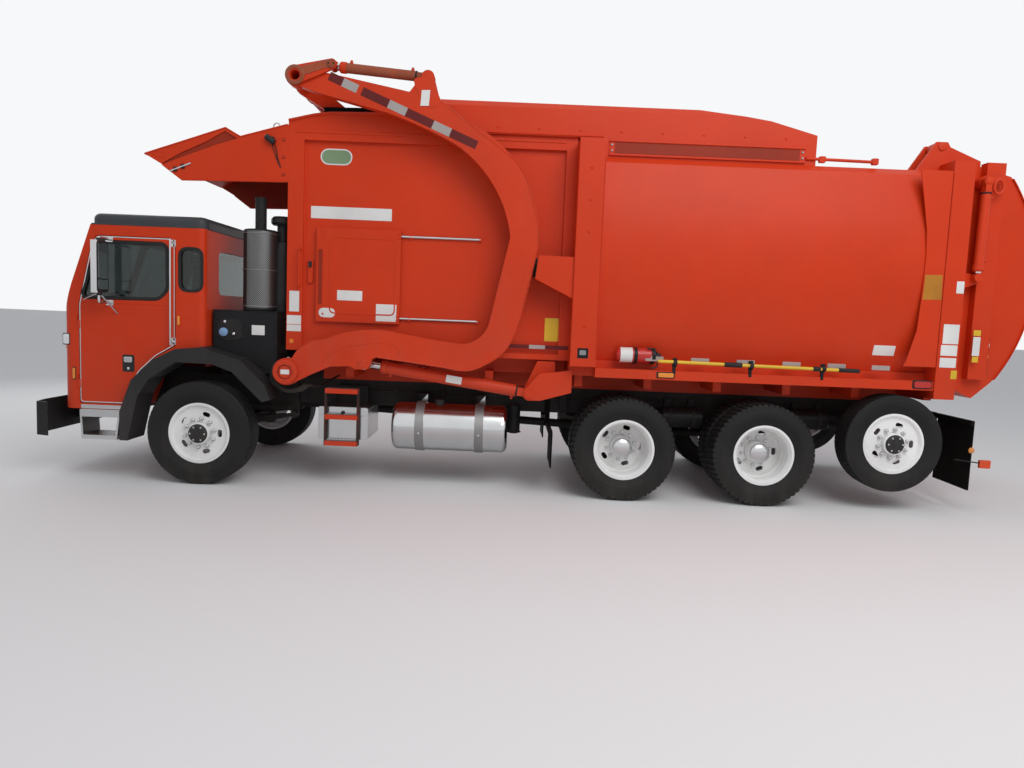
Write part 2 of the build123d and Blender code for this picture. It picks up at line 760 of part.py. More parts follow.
# Exhaust: the muffler in its shield on the left cover, with the stack
muffler_place = (447.0, -800.0)
with BuildPart() as exhaust:
    with BuildSketch(PLAN.offset(1716 + seat_gap)):
        with Locations(muffler_place):
            Circle(165)
    extrude(amount=810)
    fillet(exhaust.edges().filter_by(GeomType.CIRCLE), 20)
    with BuildSketch(PLAN.offset(2500)):
        with Locations(muffler_place):
            Circle(55)
    extrude(amount=345)
    with BuildSketch(PLAN.offset(2530)):
        with Locations(muffler_place):
            Circle(50)
    extrude(amount=316, mode=Mode.SUBTRACT)
save(exhaust, "exhaust")

# Fuel tank on the left with its straps, and the air reservoir beside it
tank_centre = (755.0, 600.0)
tank_radius = 245.0
with BuildPart() as fuel_tank:
    with BuildSketch(across(1830)):
        with Locations((-tank_centre[0], tank_centre[1])):
            Circle(tank_radius)
    extrude(amount=1176)
    fillet(fuel_tank.edges().filter_by(GeomType.CIRCLE), 60)
    with BuildSketch(across(2069)):
        with Locations((-tank_centre[0], tank_centre[1])):
            Circle(tank_radius + 6)
    extrude(amount=90)
    with BuildSketch(across(2672)):
        with Locations((-tank_centre[0], tank_centre[1])):
            Circle(tank_radius + 6)
    extrude(amount=90)
    with BuildSketch(SIDE.offset(rail_half + seat_gap)):
        with Locations((2114, 800), (2717, 800)):
            Rectangle(90, 240)
    extrude(amount=200)
save(fuel_tank, "fuel_tank")

# Tool box between the ladder and the tank
with BuildPart() as tool_box:
    with BuildSketch(SIDE.offset(rail_half + seat_gap)):
        with Locations((1356, 630)):
            RectangleRounded(500, 326, 20)
    extrude(amount=1000 - rail_half)
    with BuildSketch(SIDE.offset(rail_half + seat_gap)):
        with Locations((1356, 860)):
            Rectangle(300, 200)
    extrude(amount=60)
save(tool_box, "tool_box")

# Ladder: three treads on four rods in front of the tool box
ladder_near = 1000.0 + seat_gap
ladder_rod = 9.0
with BuildPart() as ladder:
    with BuildSketch(SIDE.offset(ladder_near)):
        with Locations((1351, 960), (1351, 700), (1351, 436)):
            Rectangle(322, 48)
    extrude(amount=82)
    with BuildSketch(PLAN.offset(412)):
        for stringer in (1190, 1512):
            with Locations((stringer, -ladder_near - ladder_rod),
                           (stringer, -ladder_near - 82 + ladder_rod)):
                Circle(ladder_rod)
    extrude(amount=572)
save(ladder, "ladder")

# Hopper: an open box with its front wall, floor, side walls and posts
panel_half = hopper_half - hopper_wall
rod_heights = (1697.0, 2507.0)
rod_radius = 12.0
rod_rear = 2672.0
rod_y = panel_half + 3 + rod_radius
with BuildPart() as hopper:
    with BuildSketch(SIDE):
        outline_face([(hopper_front, hopper_floor), (hopper_front, 3576), (1093, 3650), (1751, 3677),
                      (1751, hopper_top), (hood_front, hopper_top), (hood_front, hood_base),
                      (body_front, hood_base), (body_front, hopper_floor)])
    extrude(amount=hopper_half, both=True)
    inner = panel_half - 12
    with BuildSketch(PLAN.offset(hopper_floor + floor_thickness)):
        with Locations(((hopper_front + 30 + body_front) / 2 + 1, 0)):
            Rectangle(body_front - hopper_front - 28, 2 * inner)
    extrude(amount=3000, mode=Mode.SUBTRACT)
    with BuildSketch(SIDE.offset(panel_half)):
        outline_face([(hopper_front + post_width, 1400), (hopper_front + post_width, 3400), (3480, 3400),
                      (3480, 1400)])
    extrude(amount=hopper_wall + 1, mode=Mode.SUBTRACT)
    with BuildSketch(SIDE.offset(-hopper_half - 1)):
        outline_face([(hopper_front + post_width, 1400), (hopper_front + post_width, 3400), (3480, 3400),
                      (3480, 1400)])
    extrude(amount=hopper_wall + 1, mode=Mode.SUBTRACT)
    with BuildSketch(SIDE.offset(inner - 1)):
        with Locations(((hatch_front + hatch_rear) / 2, (hatch_low + hatch_high) / 2)):
            RectangleRounded(hatch_rear - hatch_front - 2 * hatch_margin,
                             rod_heights[1] - rod_heights[0] - 60, 40)
    extrude(amount=14, mode=Mode.SUBTRACT)
    with BuildSketch(across(hatch_front + 12)):
        with Locations([(-rod_y, z) for z in rod_heights]):
            Circle(rod_radius)
    extrude(amount=rod_rear - hatch_front - 12)
    with BuildSketch(SIDE.offset(panel_half - 1)):
        for rod_z in rod_heights:
            with Locations((hatch_front + 16, rod_z), (rod_rear - 10, rod_z)):
                Rectangle(20, 24)
    extrude(amount=rod_y + rod_radius - panel_half + 1)
save(hopper, "hopper")

# Canopy in front of the hopper, over the cab, with a wedge open under its front flap
with BuildPart() as canopy:
    with BuildSketch(SIDE):
        outline_face([(-643, 3204), (147, 3482), (292, 3403), (hopper_front - seat_gap, 3538),
                      (hopper_front - seat_gap, 2990), (-278, 2965), (-474, 3109)])
    extrude(amount=hopper_half, both=True)
    with BuildSketch(SIDE):
        outline_face([(-700, 3171), (147, 3469), (292, 3390), (hopper_front, 3525),
                      (hopper_front + 1, 2800), (-700, 2800)])
    extrude(amount=hopper_half - 10, both=True, mode=Mode.SUBTRACT)
    with BuildSketch(SIDE.offset(-hopper_half - 1)):
        outline_face([(-462, 3110), (-240, 3202), (69, 3322), (262, 3384), (140, 3452), (-51, 3340),
                      (-300, 3222), (-470, 3122)])
    extrude(amount=2 * hopper_half + 2, mode=Mode.SUBTRACT)
save(canopy, "canopy")

# Packer blade in the hopper
blade_front = 1100.0
with BuildPart() as packer_blade:
    with BuildSketch(SIDE):
        outline_face([(blade_front, hopper_floor + floor_thickness + gap), (blade_front, 2150),
                      (blade_front + 260, 2150), (blade_front + 420, 1700),
                      (blade_front + 420, hopper_floor + floor_thickness + gap)], 20)
    extrude(amount=inner - gap, both=True)
    with BuildSketch(PLAN.offset(hopper_floor + floor_thickness + pin_clearance)):
        with Locations((blade_front + 210, -600), (blade_front + 210, 600)):
            Rectangle(380, 120)
    extrude(amount=100)
save(packer_blade, "packer_blade")

# Body: a barrel-sided hollow box with its front posts and rear frame
body_floor = sill_top + 2 * seat_gap
side_low = (1010.0, 1370.0)
side_mid = (1205.0, 2500.0)
side_high = (1085.0, 3280.0)
roof_z = 3340.0


def body_section(inset):
    """The body's barrel section, drawn in by an inset all round."""
    with BuildLine() as outline:
        low_y = side_low[0] - inset
        high_y = side_high[0] - inset
        roof = roof_z - inset
        floor = body_floor + inset
        Line((-low_y, floor), (low_y, floor))
        Line((low_y, floor), (low_y, side_low[1]))
        ThreePointArc((low_y, side_low[1]), (side_mid[0] - inset, side_mid[1]),
                      (high_y, side_high[1] - inset))
        Line((high_y, side_high[1] - inset), (high_y - 80, roof))
        Line((high_y - 80, roof), (-high_y + 80, roof))
        Line((-high_y + 80, roof), (-high_y, side_high[1] - inset))
        ThreePointArc((-high_y, side_high[1] - inset), (-side_mid[0] + inset, side_mid[1]),
                      (-low_y, side_low[1]))
        Line((-low_y, side_low[1]), (-low_y, floor))
    make_face(outline.edges())


with BuildPart() as body:
    with BuildSketch(across(body_front + seat_gap)):
        body_section(0)
    extrude(amount=body_rear - body_front - seat_gap)
    for start, width, low, high in ((body_front + seat_gap, mid_post_width, 1310, post_top),
                                    (body_rear - rear_post_width, rear_post_width, 1130, 3403)):
        for side in (-1, 1):
            with BuildSketch(across(start)):
                with Locations((side * (960 + post_outer) / 2, (low + high) / 2)):
                    Rectangle(post_outer - 960, high - low)
            extrude(amount=width)
        with BuildSketch(across(start)):
            with Locations((0, (roof_z - 60 + high) / 2)):
                Rectangle(2 * post_outer, high - roof_z + 60)
        extrude(amount=width)
    with BuildSketch(across(body_front + mid_post_width)):
        with Locations((-1100, 1255), (1100, 1255)):
            Rectangle(200, 90)
    extrude(amount=7130 - body_front - mid_post_width)
    with BuildSketch(across(body_front + 3)):
        with Locations((-1015, 1290), (1015, 1290)):
            Rectangle(60, 160)
    extrude(amount=body_rear - body_front - 6)
    with BuildSketch(across(body_front + mid_post_width)):
        body_section(body_wall)
    extrude(amount=body_rear - body_front - mid_post_width - rear_post_width, mode=Mode.SUBTRACT)
    with BuildSketch(across(body_rear - rear_post_width - 1)):
        with Locations((0, (body_floor + body_wall + 3280) / 2)):
            Rectangle(2 * 960, 3280 - body_floor - body_wall)
    extrude(amount=rear_post_width + 2, mode=Mode.SUBTRACT)
    with BuildSketch(across(body_front)):
        with Locations((0, (hopper_floor + floor_thickness + 3300) / 2)):
            Rectangle(2 * inner, 3300 - hopper_floor - floor_thickness)
    extrude(amount=mid_post_width + 1, mode=Mode.SUBTRACT)
    for side in (-1, 1):
        with BuildSketch(SIDE.offset(-side * (tail_rib_outer + gap + 4) - 4)):
            outline_face([(body_rear - 60, 2180), (tail_lug_pin[0] + 40, tail_lug_pin[1] - 50),
                          (tail_lug_pin[0] + 40, tail_lug_pin[1] + 30), (body_rear - 60, 2370)])
        extrude(amount=8)
    for hinge_y in (-950, -750, 750, 950):
        with BuildSketch(SIDE.offset(-hinge_y - 15)):
            outline_face([(6889, 3330), (7080, 3628), (7190, 3628), (7230, 3560), (7230, 3330)])
            with Locations(tail_pivot):
                Circle(30 + pin_clearance, mode=Mode.SUBTRACT)
        extrude(amount=30)
    for stop_side in (-1, 1):
        with BuildSketch(SIDE.offset(-stop_side * 1140 - 60)):
            outline_face([(3240, 2359), (3590, 2355), (3590, 1957), (3215, 2134)])
        extrude(amount=120)
save(body, "body")

# Roof hood over the hopper's rear part and the body's front
with BuildPart() as roof_hood:
    with BuildSketch(SIDE):
        outline_face([(hood_front, hood_base + seat_gap + 76), (hood_front, hood_top), (4761, hood_top),
                      (5446, 3749), (hood_rear, 3631), (hood_rear, roof_z + seat_gap),
                      (body_front + mid_post_width + 2, roof_z + seat_gap),
                      (body_front + mid_post_width + 2, post_top + seat_gap + 54),
                      (hood_front + 1, post_top + seat_gap + 54)])
    extrude(amount=990, both=True)
    chamfer(roof_hood.edges().filter_by(Axis.X).sort_by(Axis.Z)[-2:], 60)
    with BuildSketch(SIDE):
        outline_face([(hood_front - 1, hood_base - 10), (hood_front - 1, hood_top - 20),
                      (4750, hood_top - 20),
                      (5436, 3729), (hood_rear - 20, 3615), (hood_rear - 20, roof_z - 10)])
    extrude(amount=950, both=True, mode=Mode.SUBTRACT)
save(roof_hood, "roof_hood")

# Sliding hatch: a plate with folded edges, carried on the rods by four sleeves
plate_y = rod_y + rod_radius + gap
hatch_mid = ((hatch_front + hatch_rear) / 2, (hatch_low + hatch_high) / 2)
sleeve_stations = (hatch_front + 60, hatch_rear - 50)
with BuildPart() as hatch:
    with BuildSketch(SIDE.offset(plate_y)):
        with Locations(hatch_mid):
            Rectangle(hatch_rear - hatch_front, hatch_high - hatch_low)
    extrude(amount=hatch_thickness)
    with BuildSketch(SIDE.offset(panel_half + 2)):
        with Locations((hatch_mid[0], hatch_high - 6), (hatch_mid[0], hatch_low + 6)):
            Rectangle(hatch_rear - hatch_front, 12)
    extrude(amount=plate_y - panel_half)
    for sleeve in sleeve_stations:
        with BuildSketch(across(sleeve)):
            for rod_z in rod_heights:
                with Locations((-rod_y - 4, rod_z)):
                    Rectangle(2 * rod_radius + 16 - 8, 2 * rod_radius + 20)
        extrude(amount=40)
        with BuildSketch(across(sleeve - 1)):
            with Locations([(-rod_y, z) for z in rod_heights]):
                Circle(rod_radius + pin_clearance)
        extrude(amount=42, mode=Mode.SUBTRACT)
save(hatch, "hatch")

# Tailgate
with BuildPart() as tailgate:
    with BuildSketch(SIDE):
        with BuildLine():
            Line((tail_front, 1250), (tail_front, 3330))
            Line((tail_front, 3330), (7430, 3400))
            Line((7430, 3400), (7785, 3303))
            TangentArc((tail_end, 2300), (7785, 3303), tangent=(0, 1))
            TangentArc((tail_end, 2300), (7780, 1304), tangent=(0, -1))
            Line((7780, 1304), (7600, 1140))
            Line((7600, 1140), (tail_front, 1250))
        make_face()
    extrude(amount=tail_half, both=True)
    with BuildSketch(SIDE):
        with BuildLine():
            Line((tail_front - 1, 1262), (tail_front - 1, 3318))
            Line((tail_front - 1, 3318), (7430, 3388))
            Line((7430, 3388), (7775, 3294))
            TangentArc((tail_end - 12, 2300), (7775, 3294), tangent=(0, 1))
            TangentArc((tail_end - 12, 2300), (7772, 1314), tangent=(0, -1))
            Line((7772, 1314), (7600, 1152))
            Line((7600, 1152), (tail_front - 1, 1262))
        make_face()
    extrude(amount=tail_half - 12, both=True, mode=Mode.SUBTRACT)
    for side in (-1, 1):
        with BuildSketch(across(7490)):
            with Locations((side * (tail_half - 12 + tail_rib_outer) / 2, (1333 + 3411) / 2)):
                Rectangle(tail_rib_outer - tail_half + 12, 3411 - 1333)
        extrude(amount=180)
        with BuildSketch(SIDE.offset(-side * 850 - 60)):
            with Locations(tail_pivot):
                Circle(55)
            outline_face([(tail_pivot[0] - 20, tail_pivot[1] - 45), (tail_pivot[0], tail_pivot[1] + 55),
                          (7560, 3470), (7560, 3370), (7420, 3350)])
        extrude(amount=120)
        with BuildSketch(SIDE.offset(-side * 850 - 116)):
            with Locations(tail_pivot):
                Circle(30)
        extrude(amount=232)
        with BuildSketch(SIDE.offset(-side * 1098 - 50)):
            with Locations(tail_pin):
                Circle(50)
            outline_face([(tail_pin[0], tail_pin[1] + 50), (7520, 3320), (7520, 3120),
                          (tail_pin[0], tail_pin[1] - 50)])
        extrude(amount=100)
        with BuildSketch(SIDE.offset(-side * 1180 - 45)):
            with Locations(tail_pin):
                Circle(20)
        extrude(amount=90)
save(tailgate, "tailgate")

# Loader arms: two goosenecks on one torque tube
with BuildPart() as loader_arms:
    with BuildSketch(SIDE.offset(arm_inner)):
        with BuildLine():
            Polyline((880, 1265), (930, 1346), (1069, 1449), (1205, 1473))
            ThreePointArc((1205, 1473), (1480, 1563), (1770, 1580))
            Polyline((1770, 1580), (2256, 1506), (2509, 1478))
            ThreePointArc((2509, 1478), (2690, 1540), (2790, 1700))
            Line((2790, 1700), (2961, 2518))
            ThreePointArc((2961, 2518), (2790, 2985), (2402, 3367))
            ThreePointArc((2402, 3367), (2110, 3500), (1781, 3620))
            Polyline((1781, 3620), (1043, 3797), (870, 3860), (880, 4018), (1303, 3946), (1960, 3826),
                     (2068, 3967))
            ThreePointArc((2068, 3967), (2132, 4032), (2190, 3960))
            Polyline((2190, 3960), (2248, 3758), (2478, 3591))
            ThreePointArc((2478, 3591), (2990, 3220), (3228, 2588))
            Polyline((3228, 2588), (3225, 2427), (3068, 1694))
            ThreePointArc((3068, 1694), (2930, 1410), (2685, 1248))
            ThreePointArc((2685, 1248), (2520, 1222), (2347, 1247))
            Polyline((2347, 1247), (1712, 1319), (1664, 1298), (1630, 1200), (1505, 1190), (1448, 1222),
                     (1255, 1208), (1063, 1119), (927, 1048), (880, 1265))
        make_face()
        with Locations(arm_pivot):
            Circle(arm_hub_radius)
        with Locations(fork_pivot):
            Circle(fork_hub_radius)
            Circle(fork_tube_radius + pin_clearance, mode=Mode.SUBTRACT)
    extrude(amount=arm_outer - arm_inner)
    with BuildSketch(SIDE.offset(arm_outer)):
        with Locations(arm_pivot):
            Circle(arm_hub_radius - 12)
    extrude(amount=40)
    mirror(about=Plane.XZ)
    with BuildSketch(SIDE):
        with Locations(arm_pivot):
            Circle(torque_radius)
    extrude(amount=arm_inner + 1, both=True)
    for side in (-1, 1):
        with BuildSketch(SIDE.offset(-side * (arm_inner + arm_outer) / 2 - 40)):
            outline_face([(1900, 3800), (1980, 4060), (2300, 4060), (2226, 3780), (2170, 3880),
                          (2060, 3880)])
        extrude(amount=80, mode=Mode.SUBTRACT)
        with BuildSketch(SIDE.offset(-side * (arm_inner + arm_outer) / 2 - 45)):
            with Locations(fork_base_pin):
                Circle(20)
        extrude(amount=90)
save(loader_arms, "loader_arms")

# Forks: the cross tube with its cranks and two tines
with BuildPart() as forks:
    with BuildSketch(SIDE.offset(arm_outer + gap)):
        with BuildLine():
            Polyline(polar(fork_pivot, 85, 108), polar(crank_pin, 48, 108), polar(crank_pin, 60, 18),
                     polar(crank_pin, 48, -72), polar(fork_pivot, 85, -72), close=True)
        make_face()
        with Locations(fork_pivot):
            Circle(85)
        with Locations(crank_pin):
            Circle(48)
    extrude(amount=crank_outer - arm_outer - gap)
    mirror(about=Plane.XZ)
    tine_end = polar(fork_pivot, tine_length, -tine_droop)
    for side in (-1, 1):
        with BuildSketch(SIDE.offset(-side * tine_y - tine_thickness / 2)):
            outline_face([polar(fork_pivot, 90, 90 - tine_droop), polar(fork_pivot, 90, -90 - tine_droop),
                          polar(tine_end, 25, -90 - tine_droop), polar(tine_end, 25, 90 - tine_droop)])
            with Locations(fork_pivot):
                Circle(90)
        extrude(amount=tine_thickness)
    with BuildSketch(SIDE):
        with Locations(fork_pivot):
            Circle(fork_tube_radius)
    extrude(amount=crank_outer, both=True)
    with BuildSketch(SIDE):
        with Locations(fork_pivot):
            Circle(fork_tube_bore)
    extrude(amount=crank_outer + 1, both=True, mode=Mode.SUBTRACT)
save(forks, "forks")


# Cylinders: a barrel with its base eye and a rod with its eye, made for the left and mirrored
def cylinder_pair(base, tip, y, radius, rod_radius, eye_width, base_pin, stub):
    """Barrel and rod between two pins in the side view, for both sides of the truck."""
    line = Vector(tip[0] - base[0], tip[1] - base[1])
    length = line.length
    line = line.normalized()
    neck = radius + 60
    start = Plane(origin=(front_axle + base[0], -y, base[1]), x_dir=(0, 1, 0),
                  z_dir=(line.X, 0, line.Y))
    with BuildPart() as barrel:
        with BuildSketch(start.offset(neck)):
            Circle(radius)
        extrude(amount=length - radius - stub - neck)
        with BuildSketch(SIDE.offset(y - eye_width / 2)):
            with Locations(base):
                Circle(radius)
        extrude(amount=eye_width)
        with BuildSketch(start.offset(radius * 0.5)):
            Rectangle(eye_width, radius * 1.3)
        extrude(amount=neck - radius * 0.5)
        with BuildSketch(SIDE.offset(y - eye_width)):
            with Locations(base):
                Circle(base_pin + pin_clearance)
        extrude(amount=2 * eye_width, mode=Mode.SUBTRACT)
        with BuildSketch(start.offset(neck + 10)):
            Circle(rod_radius + pin_clearance)
        extrude(amount=length, mode=Mode.SUBTRACT)
        mirror(about=Plane.XZ)
    with BuildPart() as rod:
        with BuildSketch(start.offset(neck + 20)):
            Circle(rod_radius)
        extrude(amount=length - neck - 20 - radius * 0.5)
        with BuildSketch(SIDE.offset(y - eye_width / 2)):
            with Locations(tip):
                Circle(radius * 0.95)
        extrude(amount=eye_width)
        mirror(about=Plane.XZ)
    return barrel, rod


lift_barrels, lift_rods = cylinder_pair(lift_base_pin, lift_lug_pin, lift_y, lift_bore, lift_rod,
                                        2 * lift_bore, lift_pin_radius, 110)
save(lift_barrels, "lift_barrels")
save(lift_rods, "lift_rods")
arm_mid = (arm_inner + arm_outer) / 2
fork_barrels, fork_rods = cylinder_pair(fork_base_pin, crank_pin, arm_mid, fork_cylinder_radius,
                                        fork_rod, 76, small_pin_radius, 20)
save(fork_barrels, "fork_barrels")
save(fork_rods, "fork_rods")
tail_barrels, tail_rods = cylinder_pair(tail_pin, tail_lug_pin, tail_cylinder_y,
                                        tail_cylinder_radius, tail_rod, 70, small_pin_radius, 20)
save(tail_barrels, "tailgate_barrels")
save(tail_rods, "tailgate_rods")

# Mud flaps on their hangers ahead of and behind the rear wheels
front_flap = (3440.0, 640.0, 1210.0, 296.0, 660.0)
rear_flap = (7560.0, 600.0, 1200.0, 240.0, 930.0)
hanger_near = rail_half + seat_gap
with BuildPart() as mud_flaps:
    for station, near, far, low, high in (front_flap, rear_flap):
        with BuildSketch(across(station)):
            with Locations((-(near + far) / 2, (low + high) / 2)):
                Rectangle(far - near, high - low)
        extrude(amount=10)
        with BuildSketch(SIDE.offset(hanger_near)):
            with Locations((station - 12, high - 25)):
                Rectangle(26, 50)
        extrude(amount=far - hanger_near)
    with BuildSketch(SIDE.offset(hanger_near)):
        with Locations((front_flap[0] - 12, 800)):
            Rectangle(60, 380)
        with Locations((7412, rear_flap[4] - 25)):
            Rectangle(284, 50)
    extrude(amount=14)
    mirror(about=Plane.XZ)
save(mud_flaps, "mud_flaps")
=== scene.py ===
# %% [markdown]
# # A front-loading refuse truck
# The real truck is built from folded plate, castings, rubber and glass. The construction
# model already holds every load-bearing piece and every joint, so this lesson keeps it as a
# fixed frame, gives its pieces their finishes, and adds the small work that a plain solid
# lacks: treads, wheel nuts, trim, lamps, hoses, labels, rails and fasteners.

import json
import math

import bpy
import numpy as np
from mathutils import Matrix


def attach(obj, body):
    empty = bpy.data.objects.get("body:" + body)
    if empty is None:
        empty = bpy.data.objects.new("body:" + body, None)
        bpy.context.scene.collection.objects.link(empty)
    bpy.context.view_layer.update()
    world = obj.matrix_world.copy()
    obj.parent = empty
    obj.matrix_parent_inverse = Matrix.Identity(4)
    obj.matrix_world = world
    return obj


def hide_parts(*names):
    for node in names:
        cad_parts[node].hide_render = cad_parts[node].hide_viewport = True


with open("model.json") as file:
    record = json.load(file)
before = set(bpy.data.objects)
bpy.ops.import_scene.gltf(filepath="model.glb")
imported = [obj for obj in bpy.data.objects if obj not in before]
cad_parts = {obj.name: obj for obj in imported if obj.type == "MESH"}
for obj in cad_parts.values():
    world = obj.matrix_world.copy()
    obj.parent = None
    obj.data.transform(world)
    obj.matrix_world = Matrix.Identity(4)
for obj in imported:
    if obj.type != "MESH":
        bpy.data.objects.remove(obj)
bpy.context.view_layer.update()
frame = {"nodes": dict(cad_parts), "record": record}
nodes = frame["nodes"]

# %% [markdown]
# Places on the truck are easiest to read as a station behind the front axle, a distance
# across (the driver's side is negative) and a height, all in millimetres. One function
# turns such a place into the frame's metres.

# %% Places
AXLE_SHIFT = 3235.0


def at(station, across, height):
    """A place on the truck in the frame's metres: station minus the axle shift, over 1000."""
    parts = np.broadcast_arrays(np.asarray(station, float) - AXLE_SHIFT, across, height)
    return np.stack(parts, axis=-1) / 1000.0


def placed_object(name, data):
    """A new object of some data, linked to the scene."""
    obj = bpy.data.objects.new(name, data)
    bpy.context.scene.collection.objects.link(obj)
    return obj


LEFT, RIGHT = -1, 1
SIDES = {"left": LEFT, "right": RIGHT}
# (station, height) of the loader's hub, its forks and the two ends of its fork cylinders
HUB, FORK_HUB, FORK_BARREL_PIN, FORK_ROD_PIN = (835, 1143), (891, 3929), (2132, 3975), (1232, 4041)
LIFT_PIN = (1565, 1240)
# (station, across) of the upright cylinders behind the cab
MUFFLER, AIR_CLEANER = (447, -800), (640, -700)
SHIELD = 173

# %% [markdown]
# The camera stands where the photograph was taken: about at head height, nearly
# square to the truck's side, tipped down and rolled slightly. Its axes are worked out from
# those three angles.

# %% Camera
YAW_PITCH_ROLL = (0.27, 5.28, 2.33)
FOCAL_PIXELS, PHOTO_PIXELS, SENSOR = 737, 1024, 36
yaw, pitch, roll = (math.radians(v) for v in YAW_PITCH_ROLL)
look = np.array([math.sin(yaw) * math.cos(pitch), math.cos(yaw) * math.cos(pitch), -math.sin(pitch)])
level = np.cross(look, [0, 0, 1])
level /= np.linalg.norm(level)
down = np.cross(look, level)
right = math.cos(roll) * level - math.sin(roll) * down
down = np.cross(look, right)
turn = np.eye(4)
turn[:3, 0], turn[:3, 1], turn[:3, 2] = right, -down, -look
turn[:3, 3] = at(3000, -8335, 1771)
camera_data = bpy.data.cameras.new("camera")
camera_data.lens = SENSOR * FOCAL_PIXELS / PHOTO_PIXELS
camera = placed_object("camera", camera_data)
camera.matrix_world = Matrix(turn.tolist())
bpy.context.scene.camera = camera
print("camera lens", round(camera_data.lens, 2), "mm")

# %% [markdown]
# A plain pale floor and two broad soft lamps beside a white world keep the colours as they
# are written. The floor is far larger than the truck, so that its edge never shows.

# %% Floor and light
bpy.context.scene.view_settings.view_transform = "Standard"
world = bpy.data.worlds.new("world")
bpy.context.scene.world = world
world.use_nodes = True
wt = world.node_tree
background = wt.nodes["Background"]
backdrop = wt.nodes.new("ShaderNodeBackground")
for sky, colour, strength in ((background, (0.93, 0.95, 1.0, 1), 0.42),
                              (backdrop, (0.93, 0.94, 0.95, 1), 1.0)):
    sky.inputs["Color"].default_value = colour
    sky.inputs["Strength"].default_value = strength
path = wt.nodes.new("ShaderNodeLightPath")
mix = wt.nodes.new("ShaderNodeMixShader")
seen = path.outputs["Is Camera Ray"]
for other_ray in ("Is Glossy Ray", "Is Transmission Ray"):
    either = wt.nodes.new("ShaderNodeMath")
    either.operation = "MAXIMUM"
    wt.links.new(seen, either.inputs[0])
    wt.links.new(path.outputs[other_ray], either.inputs[1])
    seen = either.outputs[0]
for slot, result in enumerate((seen, background.outputs[0], backdrop.outputs[0])):
    wt.links.new(result, mix.inputs[slot])
wt.links.new(mix.outputs[0], wt.nodes["World Output"].inputs["Surface"])

for lamp_name, place, aim, size, power in (
        ("key_lamp", (3.5, -8.0, 8.5), (0.0, 0.0, 1.5), 7.0, 560),
        ("fill_lamp", (-7.0, 6.0, 7.0), (0.0, 0.0, 1.5), 8.0, 200)):
    lamp_data = bpy.data.lights.new(lamp_name, "AREA")
    lamp_data.size = size
    lamp_data.energy = power
    lamp = placed_object(lamp_name, lamp_data)
    z_axis = np.array(place) - np.array(aim)
    z_axis = z_axis / np.linalg.norm(z_axis)
    x_axis = np.cross([0, 0, 1], z_axis)
    x_axis /= np.linalg.norm(x_axis)
    placed = np.eye(4)
    placed[:3] = np.stack([x_axis, np.cross(z_axis, x_axis), z_axis, place], axis=-1)
    lamp.matrix_world = Matrix(placed.tolist())

floor_mesh = bpy.data.meshes.new("floor")
floor_mesh.from_pydata([(-90, -90, 0), (90, -90, 0), (90, 90, 0), (-90, 90, 0)], [], [(0, 1, 2, 3)])
floor = placed_object("floor", floor_mesh)

# %% [markdown]
# Finishes first. Three effects come back in nearly every finish: dust that settles low on
# the truck and in streaks, paint worn off along edges, and a fine grain. Each is one node
# group with named sockets, built once.

# %% Helpers for node groups
def new_group(name, inputs, outputs):
    """A shader group with its sockets; inputs are (name, kind, default), outputs (name, kind)."""
    group = bpy.data.node_groups.new(name, "ShaderNodeTree")
    for label, kind, value in inputs:
        socket = group.interface.new_socket(name=label, in_out="INPUT", socket_type="NodeSocket" + kind)
        socket.default_value = value
    for label, kind in outputs:
        group.interface.new_socket(name=label, in_out="OUTPUT", socket_type="NodeSocket" + kind)
    return group, group.nodes.new("NodeGroupInput"), group.nodes.new("NodeGroupOutput")


def put(tree, kind, settings=None, **values):
    """Places a node; values with a link are joined to it, others are set on its sockets."""
    made = tree.nodes.new("ShaderNode" + kind)
    for key, value in (settings or {}).items():
        setattr(made, key, value)
    for key, value in values.items():
        numbered = key[0] == "i" and key[1:].isdigit()
        socket = made.inputs[int(key[1:]) if numbered else key.replace("_", " ")]
        if isinstance(value, bpy.types.NodeSocket):
            tree.links.new(value, socket)
        else:
            socket.default_value = value
    return made


def maths(tree, operation, first, second=0.0, clamp=False):
    """One Math node's result."""
    return put(tree, "Math", {"operation": operation, "use_clamp": clamp}, i0=first, i1=second).outputs[0]


def noise(tree, vector, scale, detail=4.0, rough=0.55):
    """A noise texture's value."""
    return put(tree, "TexNoise", Vector=vector, Scale=scale, Detail=detail, Roughness=rough).outputs["Fac"]


def ramp(tree, value, low, high):
    """A value brought from low..high to 0..1 and held there."""
    made = put(tree, "MapRange", i0=value)
    made.inputs["From Min"].default_value = low
    made.inputs["From Max"].default_value = high
    made.clamp = True
    return made.outputs[0]


# %% [markdown]
# Dust is thickest near the road and thins out upwards. Rain carries it down in streaks, so
# the noise that breaks it up is stretched along the height.

# %% Dust group
dust_group, g_in, g_out = new_group(
    "Road dust", [("Top", "Float", 1.6), ("Amount", "Float", 0.5)], [("Mask", "Float")])
place = put(dust_group, "TexCoord").outputs["Object"]
split = put(dust_group, "SeparateXYZ", Vector=place)
fall = maths(dust_group, "DIVIDE", split.outputs["Z"], g_in.outputs["Top"])
fall = maths(dust_group, "SUBTRACT", 1.0, fall, clamp=True)
fall = maths(dust_group, "POWER", fall, 1.6)
streak_place = put(dust_group, "Mapping", Vector=place)
streak_place.inputs["Scale"].default_value = (9.0, 9.0, 0.9)
streaks = noise(dust_group, streak_place.outputs[0], 1.0, 6.0, 0.6)
patches = noise(dust_group, place, 3.1, 5.0, 0.6)
broken = ramp(dust_group, maths(dust_group, "MULTIPLY", streaks, patches), 0.12, 0.36)
everywhere = maths(dust_group, "MULTIPLY", broken, 0.22)
low_down = maths(dust_group, "MULTIPLY", fall, maths(dust_group, "ADD", broken, 0.35))
both = maths(dust_group, "ADD", everywhere, low_down)
both = maths(dust_group, "MULTIPLY", both, g_in.outputs["Amount"], clamp=True)
